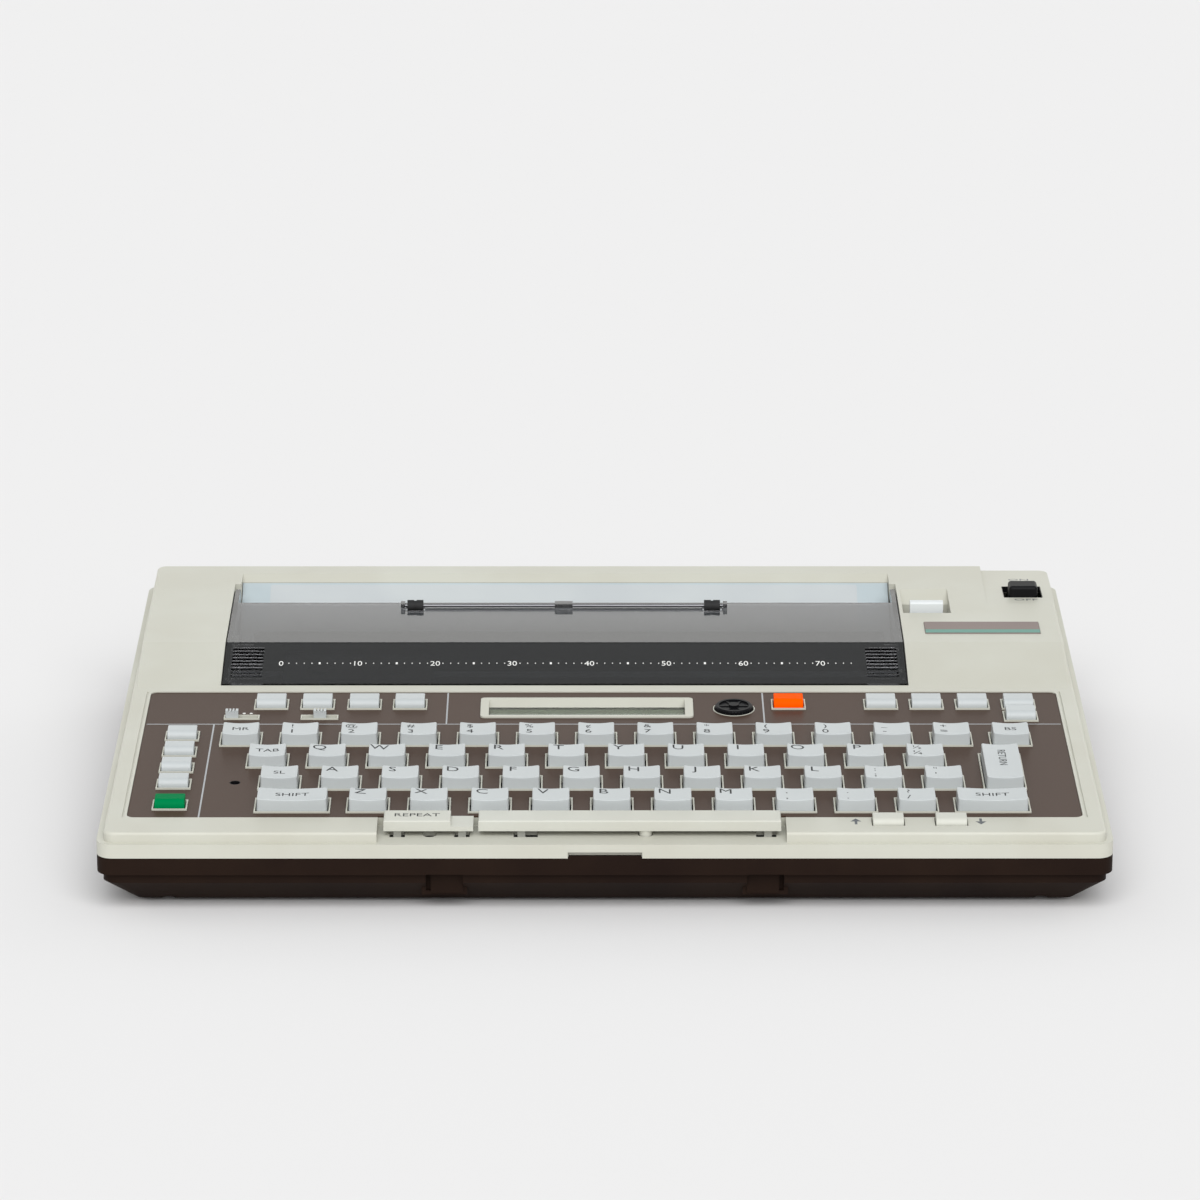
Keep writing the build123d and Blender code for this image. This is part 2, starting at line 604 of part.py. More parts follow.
# Keyboard plate, pierced for the rims, the holes and the front bay
with BuildPart() as keyboard_plate:
    with BuildSketch(deck.offset(plate_bed)):
        with Locations((0, (PLATE_FRONT + PLATE_BACK) / 2)):
            RectangleRounded(2 * (PLATE_HALF - PLATE_GAP), PLATE_BACK - PLATE_FRONT - 2 * PLATE_GAP,
                             PLATE_CORNER - PLATE_GAP)
        with Locations(((BAY_X[0] + BAY_X[1]) / 2, BAY_BACK / 2)):
            Rectangle(BAY_X[1] - BAY_X[0] + 2 * PLATE_GAP, BAY_BACK + 2 * PLATE_GAP, mode=Mode.SUBTRACT)
        for spot, size in rim_slots:
            with Locations(spot):
                Rectangle(size[0] + 2 * (KEY_GAP + RIM_WALL + PLATE_GAP),
                          size[1] + 2 * (KEY_GAP + RIM_WALL + PLATE_GAP), mode=Mode.SUBTRACT)
        with Locations(((DISPLAY_X[0] + DISPLAY_X[1]) / 2, (DISPLAY_U[0] + DISPLAY_U[1]) / 2)):
            RectangleRounded(DISPLAY_X[1] - DISPLAY_X[0] + 2 * PLATE_GAP,
                             DISPLAY_U[1] - DISPLAY_U[0] + 2 * PLATE_GAP, DISPLAY_CORNER + PLATE_GAP,
                             mode=Mode.SUBTRACT)
        with Locations(DIAL_AT):
            Circle(DIAL_RADIUS + KEY_GAP + DIAL_RIM + PLATE_GAP, mode=Mode.SUBTRACT)
        with Locations(LAMP_AT):
            Circle(LAMP_HOLE, mode=Mode.SUBTRACT)
    extrude(amount=PLATE_THICK)
save(keyboard_plate, "keyboard_plate")


def keycaps(spots, size, top):
    """Letter keycaps: hollow tapered shells with a cylindrical dish and a plunger."""
    with BuildPart() as caps:
        with BuildSketch(deck.offset(KEY_SKIRT)):
            with Locations(*spots):
                RectangleRounded(size[0], size[1], KEY_CORNER)
        extrude(amount=top - KEY_SKIRT, taper=KEY_TAPER)
        for x, u in spots:
            dish = size[0] ** 2 / (8 * KEY_DISH_DEPTH)
            with BuildSketch(front.offset(-u)) as dish_outline:
                with Locations((x, top + dish - KEY_DISH_DEPTH)):
                    Circle(dish)
            extrude(dish_outline.sketch, amount=size[1], both=True, mode=Mode.SUBTRACT)
        dished = caps.faces().filter_by(GeomType.CYLINDER).filter_by(lambda face: face.area > 20)
        fillet(dished.edges(), KEY_ROUND)
        with BuildSketch(deck.offset(KEY_SKIRT)):
            with Locations(*spots):
                Rectangle(size[0] - 2 * KEY_WALL, size[1] - 2 * KEY_WALL)
        extrude(amount=top - KEY_SKIRT - KEY_WALL - KEY_DISH_DEPTH, taper=KEY_TAPER, mode=Mode.SUBTRACT)
        post(spots, STEM_RADIUS, (STEM_END, top - KEY_WALL - KEY_DISH_DEPTH + 0.1))
    return caps


row_names = ("keys_number_row", "keys_upper_row", "keys_home_row", "keys_lower_row")
for name, spots in zip(row_names, row_spots):
    save(keycaps(spots, KEY_SIZE, KEY_TOP), name)
save(keycaps([shift_left], shift_size, KEY_TOP), "shift_key_left")
save(keycaps([shift_right], shift_size, KEY_TOP), "shift_key_right")
save(keycaps([return_spot], return_size, KEY_TOP), "return_key")


def small_key(spot, size, top):
    """Function key: a hollow block with a broad round along its front upper edge, and a plunger."""
    with BuildPart() as key:
        slab((spot[0] - size[0] / 2, spot[0] + size[0] / 2), (spot[1] - size[1] / 2, spot[1] + size[1] / 2),
             (KEY_SKIRT, top))
        top_face = key.faces().sort_by(lambda face: deck.to_local_coords(face.center()).Z)[-1]
        front_edge = top_face.edges().sort_by(lambda edge: deck.to_local_coords(edge.center()).Y)[0]
        fillet(front_edge, FUNCTION_ROUND)
        outer_edges = key.edges().filter_by(
            lambda edge: deck.to_local_coords(edge.center()).Z > KEY_SKIRT + 0.1)
        fillet(outer_edges.filter_by(lambda edge: abs(deck.to_local_coords(edge.center()).Y - spot[1])
                                     > size[1] / 2 - 0.01), KEY_ROUND)
        slab((spot[0] - size[0] / 2 + KEY_WALL, spot[0] + size[0] / 2 - KEY_WALL),
             (spot[1] - size[1] / 2 + KEY_WALL, spot[1] + size[1] / 2 - KEY_WALL),
             (KEY_SKIRT - 1, top - KEY_WALL - FUNCTION_ROUND), Mode.SUBTRACT)
        post([spot], STEM_RADIUS, (STEM_END, top - FUNCTION_ROUND - KEY_WALL + 0.1))
    return key


function_names = [f"function_key_{count + 1}" for count in range(len(FUNCTION_LEFT))]
function_names += ["clear_key"]
function_names += [f"function_key_{count + 1 + len(FUNCTION_LEFT)}"
                   for count in range(len(FUNCTION_RIGHT) + 1)]
for name, spot in zip(function_names, function_spots):
    save(small_key(spot, FUNCTION_SIZE, FUNCTION_TOP), name)
column_names = ["code_key"] + [f"mode_key_{COLUMN_KEYS - count}" for count in range(1, COLUMN_KEYS)]
for name, spot in zip(column_names, column_spots):
    save(small_key(spot, COLUMN_SIZE, FUNCTION_TOP), name)
for name, spot in zip(("paper_up_key", "paper_down_key"), feed_spots):
    save(small_key(spot, FEED_SIZE, FEED_TOP), name)


def bar(x_span, stems, step=None, guide=None):
    """Bar of the front bay: a hollow block on two stems, with an optional lower end or round guide."""
    with BuildPart() as block:
        slab(x_span, (BAR_FRONT, BAR_BACK), (BAR_SKIRT, BAR_TOP))
        upper = block.faces().sort_by(lambda face: deck.to_local_coords(face.center()).Z)[-1]
        fillet(upper.edges(), BAR_ROUND)
        reach = x_span[1]
        if step:
            slab((x_span[1] - 0.5, step[0]), (BAR_FRONT, BAR_BACK), (BAR_SKIRT, step[1]))
            reach = step[0]
        slab((x_span[0] + KEY_WALL, reach - KEY_WALL), (BAR_FRONT + KEY_WALL, BAR_BACK - KEY_WALL),
             (BAR_SKIRT - 1, BAR_SKIRT + 0.5), Mode.SUBTRACT)
        for x in stems:
            slab((x - BAR_STEM[0] / 2, x + BAR_STEM[0] / 2), (BAR_STEM_U - BAR_STEM[1] / 2,
                 BAR_STEM_U + BAR_STEM[1] / 2), (STEM_END, BAR_SKIRT + 0.6))
        if guide:
            post([(guide[0], BAR_SLOT_U[0] + guide[1] + KEY_GAP)], guide[1], (GUIDE_FOOT_W, BAR_SKIRT + 0.6))
    return block


save(bar(REPEAT_X, REPEAT_STEMS, (REPEAT_STEP_X, REPEAT_STEP_TOP)), "repeat_key")
save(bar(SPACE_X, SPACE_STEMS, guide=BAR_GUIDE), "space_bar")


def tub(inset, bottom):
    """Solid outline of the bottom case, in by inset from its outer face and down to a level bottom."""
    size = (CASE_WIDTH - 2 * (inset + STEP_IN), lower_back_y - lower_front_y - 2 * inset)
    middle = (0, (lower_front_y + lower_back_y) / 2)
    belly_z = bottom + BELLY_UP
    with BuildPart() as outline:
        with BuildSketch(Plane.XY.offset(belly_z)):
            with Locations(middle):
                RectangleRounded(size[0], size[1], CASE_CORNER)
        extrude(amount=2 * DECK_HEIGHT)
        split(bisect_by=deck.offset(lower_w), keep=Keep.BOTTOM)
        with BuildSketch(Plane.XY.offset(belly_z)):
            with Locations(middle):
                RectangleRounded(size[0], size[1], CASE_CORNER)
        with BuildSketch(Plane.XY.offset(bottom)):
            with Locations(middle):
                RectangleRounded(size[0] - 2 * BELLY_IN, size[1] - 2 * BELLY_IN, CASE_CORNER / 2)
        loft(ruled=True)
        with BuildSketch(deck.offset(lower_w)):
            with Locations((0, (case_front + case_back) / 2)):
                RectangleRounded(CASE_WIDTH - 2 * inset, CASE_DEPTH - 2 * inset, CASE_CORNER - inset)
        extrude(amount=BAND_HEIGHT)
    return outline


# Battery bay sizes, and the part of the case's skin that its door takes up
bay_half = (CELL_COUNT * CELL_LENGTH + BATTERY_ROOM) / 2
bay_top_z = FOOT_HEIGHT + DOOR_THICK + DOOR_GAP + CELL_DIAMETER + 0.4
door_half = bay_half - DOOR_FLANGE
bay_front_y = to_world(BATTERY_FRONT, w_at(BATTERY_FRONT, FOOT_HEIGHT))[0]
door_top_z = FOOT_HEIGHT + BELLY_UP
foot_spots = [(x, y) for x in (-FOOT_X, FOOT_X) for y in (-FOOT_Y, FOOT_Y)]
frame_posts = [(x, u) for x in (FRAME_LEFT + 6, FRAME_RIGHT - 6) for u in (FRAME_U[0] + 5, FRAME_U[1] - 5)]
board_supports = [(x, y) for x in (-MAIN_BOARD_HALF + 4, MAIN_BOARD_HALF - 4) for y in
                  (to_world(MAIN_BOARD_U[0] + 4, 0)[0], to_world(MAIN_BOARD_U[1] - 4, 0)[0])]
tub_outer = tub(0, FOOT_HEIGHT)
tub_inner = tub(WALL, floor_z)
tub_skin = tub(DOOR_THICK, FOOT_HEIGHT + DOOR_THICK)

# Posts that carry the printer frame, square to the deck and cut off in the floor of the case
with BuildPart() as frame_supports:
    post(frame_posts, FRAME_POST, (2 * FRAME_BASE_W, FRAME_BASE_W))
    split(bisect_by=Plane.XY.offset(floor_z - SINK), keep=Keep.TOP)

latch_back = case_front + STEP_IN + LATCH_DEPTH
latch_w = (LATCH_W - LATCH_SIZE[1] / 2, LATCH_W + LATCH_SIZE[1] / 2)

# Bottom case: dark shell with the battery bay, the bosses and the latch sockets
with BuildPart() as bottom_case:
    add(tub_outer.part)
    add(tub_inner.part, mode=Mode.SUBTRACT)
    # Walls and roof of the battery bay
    slab((-bay_half - BATTERY_WALL, bay_half + BATTERY_WALL),
         (bay_front_y - BATTERY_WALL, lower_back_y - SINK),
         (floor_z - SINK, bay_top_z + BATTERY_WALL), plane=Plane.XY)
    slab((-bay_half, bay_half), (bay_front_y, lower_back_y - WALL), (floor_z - SINK, bay_top_z), Mode.SUBTRACT,
         Plane.XY)
    slab((-door_half - DOOR_GAP, door_half + DOOR_GAP), (bay_front_y + DOOR_LEDGE, lower_back_y + 1),
         (FOOT_HEIGHT - 1, door_top_z + DOOR_GAP), Mode.SUBTRACT, Plane.XY)
    # Supports of the printer frame and of the main board, and the screw bosses
    add(frame_supports.part)
    post(board_supports, FRAME_POST, (floor_z - SINK, MAIN_BOARD_Z), plane=Plane.XY)
    post(screw_spots, BOSS_RADIUS, (floor_z - SINK, SCREW_SPLIT), plane=Plane.XY)
    post(screw_spots, SCREW_HEAD + DOOR_GAP, (FOOT_HEIGHT - 1, screw_head_z), Mode.SUBTRACT, Plane.XY)
    post(screw_spots, SCREW_RADIUS + SCREW_FIT, (FOOT_HEIGHT, SCREW_SPLIT + 1), Mode.SUBTRACT, Plane.XY)
    # Sockets that the carrying lid latches into, each with a shallower inner part
    for x in (-LATCH_X, LATCH_X):
        outer_end = x + LATCH_SIZE[0] / 2 if x > 0 else x - LATCH_SIZE[0] / 2
        inner_end = 2 * x - outer_end
        step_end = outer_end - LATCH_STEP[0] if x > 0 else outer_end + LATCH_STEP[0]
        slab((x - LATCH_SIZE[0] / 2 - LATCH_BACKING, x + LATCH_SIZE[0] / 2 + LATCH_BACKING),
             (case_front + STEP_IN + SINK + LATCH_STEP[2], latch_back + LATCH_BACKING),
             (latch_w[0] - LATCH_BACKING, latch_w[1] + LATCH_BACKING))
        slab((x - LATCH_SIZE[0] / 2, x + LATCH_SIZE[0] / 2), (case_front - 1, latch_back), latch_w,
             Mode.SUBTRACT)
        slab((min(inner_end, step_end), max(inner_end, step_end)),
             (latch_back - LATCH_STEP[2], latch_back + SINK), (latch_w[0] - SINK, latch_w[1] - LATCH_STEP[1]))
    # Tongue that fills the foot of the finger notch, and the hole of the power inlet
    slab((DOOR_GAP - NOTCH_WIDTH / 2, NOTCH_WIDTH / 2 - DOOR_GAP),
         (case_front, case_front + NOTCH_DEPTH - PLATE_GAP), (SEAM_W - SINK, SEAM_W + NOTCH_TONGUE))
    with Locations((JACK_X, lower_back_y, JACK_Z)):
        Cylinder(JACK_HOLE, 4 * WALL, rotation=(90, 0, 0), mode=Mode.SUBTRACT)
save(bottom_case, "bottom_case")

# Battery door: the piece of the case's skin that slides out backwards
with BuildPart() as battery_door:
    add(tub_outer.part)
    add(tub_skin.part, mode=Mode.SUBTRACT)
    slab((-door_half, door_half), (bay_front_y + DOOR_LEDGE + DOOR_GAP, lower_back_y + 1),
         (FOOT_HEIGHT - 1, door_top_z), Mode.INTERSECT, Plane.XY)
save(battery_door, "battery_door")

with BuildPart() as rubber_feet:
    post(foot_spots, FOOT_RADIUS, (0, FOOT_HEIGHT), plane=Plane.XY)
    fillet(rubber_feet.edges().filter_by(lambda edge: edge.center().Z < 0.01), 0.5)
save(rubber_feet, "rubber_feet")

with BuildPart() as case_screws:
    post(screw_spots, SCREW_RADIUS, (screw_head_z, screw_head_z + SCREW_LENGTH), plane=Plane.XY)
    post(screw_spots, SCREW_HEAD, (screw_head_z - SCREW_HEAD_THICK, screw_head_z), plane=Plane.XY)
    for x, y in screw_spots:
        for along, across in ((CROSS_SLOT[0], CROSS_SLOT[1]), (CROSS_SLOT[1], CROSS_SLOT[0])):
            slab((x - along / 2, x + along / 2), (y - across / 2, y + across / 2),
                 (screw_head_z - SCREW_HEAD_THICK - 1, screw_head_z - SCREW_HEAD_THICK / 2), Mode.SUBTRACT,
                 Plane.XY)
save(case_screws, "case_screws")

# Hinged print cover of smoked plastic, which carries the paper bail
slope = (HOUSING_RISE / (SLOPE_BACK - SLOPE_FRONT))
cover_front = BAY_FRONT + COVER_GAP
cover_front_w = slope * (cover_front - SLOPE_FRONT) + 0.4
cover_top_w = HOUSING_RISE + 0.2
cover_crease = SLOPE_BACK - 0.5
outer_line = [(cover_front, cover_front_w), (cover_crease, cover_top_w), (COVER_BACK, cover_top_w)]
with BuildPart() as print_cover:
    side_prism(
        outer_line + [(COVER_BACK, cover_top_w - COVER_THICK), (cover_crease, cover_top_w - COVER_THICK),
                      (cover_front + COVER_THICK, cover_front_w - COVER_THICK),
                      (cover_front, cover_front_w - COVER_THICK)],
        (cover_left, cover_right),
    )
    for x_wall in (cover_left, cover_right - COVER_THICK):
        side_prism(
            outer_line + [(HINGE_U + 1.2, cover_top_w - 0.4), (HINGE_U + HINGE_ARM, HINGE_W + 1.6),
                          (HINGE_U + HINGE_ARM, HINGE_W - 2),
                          (HINGE_U, HINGE_W - HINGE_ARM), (COVER_BACK - 4, COVER_SIDE_W),
                          (SLOPE_BACK - 6, COVER_SIDE_W), (cover_front + 1, cover_front_w - COVER_THICK)],
            (x_wall, x_wall + COVER_THICK),
        )
    for x_pin in (cover_left - COVER_GAP - BAY_SIDE_WALL, cover_right - COVER_THICK):
        rod((x_pin, x_pin + COVER_GAP + BAY_SIDE_WALL + COVER_THICK), (HINGE_U, HINGE_W), HINGE_PIN)
    # Ribbed finger grips at both ends of the sloping face
    grip_pitch = COVER_GRIP[1] / GRIP_RIBS
    for x_grip in (cover_left + GRIP_INSET, cover_right - GRIP_INSET - COVER_GRIP[0]):
        for count in range(GRIP_RIBS):
            u_rib = cover_front + 5 + count * grip_pitch
            w_rib = cover_front_w + slope * (u_rib - cover_front)
            side_prism(
                [(u_rib, w_rib - 0.6), (u_rib, w_rib + GRIP_RIB), (u_rib + 0.9, w_rib + GRIP_RIB + 0.1),
                 (u_rib + 0.9, w_rib - 0.6)],
                (x_grip, x_grip + COVER_GRIP[0]),
            )
    # Ears of the bail rod and windows under its rollers
    for x_ear in ((BAIL_X[0], BAIL_X[0] + 1.4), BAIL_TAB, (BAIL_X[1] - 1.4, BAIL_X[1])):
        slab(x_ear, (BAIL_U - 1.6, BAIL_U + 1.6), (cover_top_w - 0.5, BAIL_W + 1.1))
    for x in ROLLERS_X:
        slab((x - ROLLER_SIZE[1] / 2 - 0.6, x + ROLLER_SIZE[1] / 2 + 0.6),
             (BAIL_U - ROLLER_SIZE[0] - 0.6, BAIL_U + ROLLER_SIZE[0] + 0.6), (0, cover_top_w + 1),
             Mode.SUBTRACT)
    rod((BAIL_X[0] - 1, BAIL_X[1] + 1), (BAIL_U, BAIL_W), BAIL_RADIUS + 0.02, Mode.SUBTRACT)
save(print_cover, "print_cover")

with BuildPart() as bail_rod:
    rod(BAIL_X, (BAIL_U, BAIL_W), BAIL_RADIUS)
save(bail_rod, "bail_rod")

with BuildPart() as bail_rollers:
    for x in ROLLERS_X:
        rod((x - ROLLER_SIZE[1] / 2, x + ROLLER_SIZE[1] / 2), (BAIL_U, BAIL_W), ROLLER_SIZE[0])
        rod((x - ROLLER_GROOVE[0], x + ROLLER_GROOVE[0]), (BAIL_U, BAIL_W), ROLLER_SIZE[0] + 1, Mode.SUBTRACT)
        rod((x - SINK, x + SINK), (BAIL_U, BAIL_W), ROLLER_SIZE[0] - ROLLER_GROOVE[1])
    rod(BAIL_X, (BAIL_U, BAIL_W), BAIL_RADIUS + ROLLER_FIT, Mode.SUBTRACT)
save(bail_rollers, "bail_rollers")

# Paper guide: a sloping chute that wraps under the platen
guide_radius = PLATEN_RADIUS + GUIDE_GAP
chute_reach = sqrt((GUIDE_TOP[0] - PLATEN_U) ** 2 + (GUIDE_TOP[1] - PLATEN_W) ** 2)
chute_angle = atan2(GUIDE_TOP[1] - PLATEN_W, GUIDE_TOP[0] - PLATEN_U) - acos(guide_radius / chute_reach)
chute_rise = chute_angle + pi / 2


def round_platen(radius, angle):
    """Point at a radius and an angle about the platen's axis."""
    return PLATEN_U + radius * cos(angle), PLATEN_W + radius * sin(angle)



def chute_w(u, depth=0.0):
    """Level of the chute's face, or of a surface at a depth under it, at a point u back."""
    return GUIDE_TOP[1] - (GUIDE_TOP[0] - u) * tan(chute_rise) - depth / cos(chute_rise)


guide_end = radians(GUIDE_END)
guide_middle = (chute_angle + guide_end) / 2
outer_radius = guide_radius + GUIDE_THICK
guide_x = (FRAME_LEFT + FRAME_SHEET + GUIDE_SIDE_GAP, cover_right - COVER_THICK - COVER_GAP / 2)
with BuildPart() as paper_guide:
    with BuildSketch(side.offset(guide_x[0])) as guide_outline:
        with BuildLine():
            inner_top = (GUIDE_TIP_U, chute_w(GUIDE_TIP_U))
            outer_top = (GUIDE_TIP_U, chute_w(GUIDE_TIP_U, GUIDE_THICK))
            Line(inner_top, round_platen(guide_radius, chute_angle))
            ThreePointArc(round_platen(guide_radius, chute_angle), round_platen(guide_radius, guide_middle),
                          round_platen(guide_radius, guide_end))
            Line(round_platen(guide_radius, guide_end), round_platen(outer_radius, guide_end))
            ThreePointArc(round_platen(outer_radius, guide_end), round_platen(outer_radius, guide_middle),
                          round_platen(outer_radius, chute_angle))
            Line(round_platen(outer_radius, chute_angle), outer_top)
            Line(outer_top, inner_top)
        make_face()
    extrude(amount=guide_x[1] - guide_x[0])
    side_prism(
        [(GUIDE_WING_U, chute_w(GUIDE_WING_U)), inner_top, outer_top,
         (GUIDE_WING_U, chute_w(GUIDE_WING_U, GUIDE_THICK))],
        (bay_back_x[0] + GUIDE_SIDE_GAP, guide_x[0] + SINK),
    )
save(paper_guide, "paper_guide")

# Paper release lever, which rocks back about its shaft
with BuildPart() as release_lever:
    slab(LEVER_X, (LEVER_AT[0] - LEVER_THICK, LEVER_AT[0]), (LEVER_AT[1], LEVER_TOP))
    tip = release_lever.edges().filter_by(lambda edge: deck.to_local_coords(edge.center()).Z > LEVER_TOP - 0.1
                                          and edge.length > LEVER_THICK + 1)
    fillet(tip, 0.8)
    rod((LEVER_POCKET_X[0] + 0.3, LEVER_POCKET_X[1] + 0.5), LEVER_AT, LEVER_SHAFT)
    rod(LEVER_X, LEVER_AT, LEVER_HUB)
save(release_lever, "release_lever")

# Power switch: a slider in the aperture, on a fixed switch body that hangs from the housing
power_knob_x = ((sum(POWER_X) - POWER_KNOB[0]) / 2, (sum(POWER_X) + POWER_KNOB[0]) / 2)
power_knob_u = (POWER_U[0] + KEY_GAP, POWER_U[0] + KEY_GAP + POWER_KNOB[1])
with BuildPart() as power_knob:
    slab(power_knob_x, power_knob_u, (-0.6, POWER_TOP))
    fillet(power_knob.edges().filter_by(lambda edge: deck.to_local_coords(edge.center()).Z > 1), POWER_ROUND)
    slab((POWER_X[0] - POWER_WING[0], POWER_X[1] + POWER_WING[1]),
         (power_knob_u[0] - POWER_LIP, power_knob_u[1] + POWER_LIP), (POWER_BODY_W[1] + DOME_GAP, -0.5))
save(power_knob, "power_knob")


def shoulder_ceiling(u):
    """Level of the underside of the sloping right rear shoulder."""
    return HOUSING_RISE - WALL - SHOULDER_DROP * (u - SHOULDER_U) / (deck_back - SHOULDER_U)


with BuildPart() as power_switch:
    slab((POWER_X[0], POWER_X[1] - 0.5), POWER_BODY_U, POWER_BODY_W)
    for u_hanger in ((POWER_BODY_U[0], POWER_BODY_U[0] + 1.6), (POWER_BODY_U[1] - 1.6, POWER_BODY_U[1])):
        slab((POWER_X[0] - 3.4, POWER_X[0] - 1.9), u_hanger,
             (POWER_BODY_W[0], shoulder_ceiling(u_hanger[1]) - WINDOW_SEAT))
        slab((POWER_X[0] - 3.4, POWER_X[0] + 1), u_hanger, (POWER_BODY_W[0], POWER_BODY_W[0] + 2))
save(power_switch, "power_switch")

# Bare plate let into the housing
with BuildPart() as badge_plate:
    slab((PLATE_X[0] + PLATE_GAP, PLATE_X[1] - PLATE_GAP), (PLATE_U[0] + PLATE_GAP, PLATE_U[1] - PLATE_GAP),
         (HOUSING_RISE - BADGE_SUNK, HOUSING_RISE - BADGE_SUNK + BADGE_THICK))
    plate_face = badge_plate.faces().sort_by(lambda face: deck.to_local_coords(face.center()).Z)[-1]
    chamfer(plate_face.edges(), 0.2)
save(badge_plate, "badge_plate")

# Display window under the deck, and the display module on four feet below it
with BuildPart() as display_window:
    slab((window_x[0] - WINDOW_LAP, window_x[1] + WINDOW_LAP),
         (window_u[0] - WINDOW_LAP, window_u[1] + WINDOW_LAP), (WINDOW_W - WINDOW_THICK, WINDOW_W))
save(display_window, "display_window")

module_top = WINDOW_W - WINDOW_THICK - WINDOW_SEAT
with BuildPart() as display_module:
    slab(DISPLAY_X, DISPLAY_U, (module_top - DISPLAY_THICK, module_top))
    for x in (DISPLAY_X[0], DISPLAY_X[1] - 3):
        for u in (DISPLAY_U[0], DISPLAY_U[1] - 3):
            slab((x, x + 3), (u, u + 3), (key_board_top, module_top - DISPLAY_THICK + SINK))
save(display_module, "display_module")

# Contrast dial: a milled disc with a sunk face, a hub and six raised facets, on its shaft
with BuildPart() as contrast_dial:
    post([DIAL_AT], DIAL_RADIUS, (-WALL, DIAL_RISE))
    rim = contrast_dial.edges().filter_by(lambda edge: deck.to_local_coords(edge.center()).Z > DIAL_RISE - 0.1)
    chamfer(rim, 0.5)
    post([DIAL_AT], DIAL_RADIUS - DIAL_LIP, (DIAL_RISE - DIAL_SUNK, DIAL_RISE + 1), Mode.SUBTRACT)
    post([DIAL_AT], DIAL_HUB, (DIAL_RISE - DIAL_SUNK - 0.1, DIAL_RISE + 0.3))
    for count in range(DIAL_TEETH):
        angle = 2 * pi * count / DIAL_TEETH
        notch = (DIAL_AT[0] + DIAL_RADIUS * cos(angle), DIAL_AT[1] + DIAL_RADIUS * sin(angle))
        post([notch], DIAL_NOTCH, (-WALL - 1, DIAL_RISE + 1), Mode.SUBTRACT)
    dial_face = deck.location * Location((DIAL_AT[0], DIAL_AT[1], DIAL_RISE - DIAL_SUNK))
    for count in range(DIAL_FACETS):
        spoke = dial_face * Location((0, 0, 0), (0, 0, 360 * count / DIAL_FACETS))
        with Locations(spoke * Location(((DIAL_HUB + DIAL_RADIUS - DIAL_LIP) / 2, 0, 0))):
            Box(DIAL_RADIUS - DIAL_LIP - DIAL_HUB + 0.2, DIAL_SPOKE, DIAL_SUNK)
    post([DIAL_AT], DIAL_HUB, (STEM_END + DOME_GAP, -WALL))
save(contrast_dial, "contrast_dial")


def switch_knob(x_low):
    """Ribbed knob of a slide switch, with its stem through the slot."""
    with BuildPart() as knob:
        x_span = (x_low, x_low + SWITCH_KNOB[0])
        u_span = (SWITCH_U - SWITCH_KNOB[1] / 2, SWITCH_U + SWITCH_KNOB[1] / 2)
        slab(x_span, u_span, (SWITCH_BODY_W + SWITCH_SEAT, SWITCH_KNOB_TOP))
        for count in range(1, SWITCH_RIDGES):
            x = x_low + SWITCH_KNOB[0] * count / SWITCH_RIDGES
            slab((x - 0.22, x + 0.22), (u_span[0] - 1, u_span[1] + 1),
                 (SWITCH_KNOB_TOP - 0.7, SWITCH_KNOB_TOP + 1), Mode.SUBTRACT)
    return knob


save(switch_knob(SWITCH_LEFT[0] + SWITCH_END_GAP), "slide_knob_left")
save(switch_knob(SWITCH_RIGHT_REST - SWITCH_KNOB[0] / 2), "slide_knob_right")

lamp_radius = LAMP_HOLE - SWITCH_SEAT
with BuildPart() as indicator_lamp:
    post([LAMP_AT], lamp_radius, (key_board_top, -LAMP_SUNK))
    lamp_top = indicator_lamp.edges().sort_by(lambda edge: deck.to_local_coords(edge.center()).Z)[-1]
    fillet(lamp_top, 0.9)
save(indicator_lamp, "indicator_lamp")

# Keyboard circuit board, with the switch bodies and the dial's control on it
front_bosses = [(x, SCREW_US[0]) for x in (-SCREW_X, SCREW_X)]
with BuildPart() as keyboard_board:
    slab((-KEY_BOARD_HALF, KEY_BOARD_HALF), KEY_BOARD_U, (KEY_BOARD_W, key_board_top))
    for x_span in (SWITCH_LEFT, SWITCH_RIGHT):
        slab((x_span[0] - 1, x_span[1] + 1), (SWITCH_U - SWITCH_SLOT, SWITCH_U + SWITCH_SLOT),
             (key_board_top, SWITCH_BODY_W))
    post([DIAL_AT], DIAL_RADIUS - 1, (key_board_top, STEM_END))
    post(front_bosses, BOSS_RADIUS + 1, (KEY_BOARD_W - 1, key_board_top + 1), Mode.SUBTRACT)
save(keyboard_board, "keyboard_board")

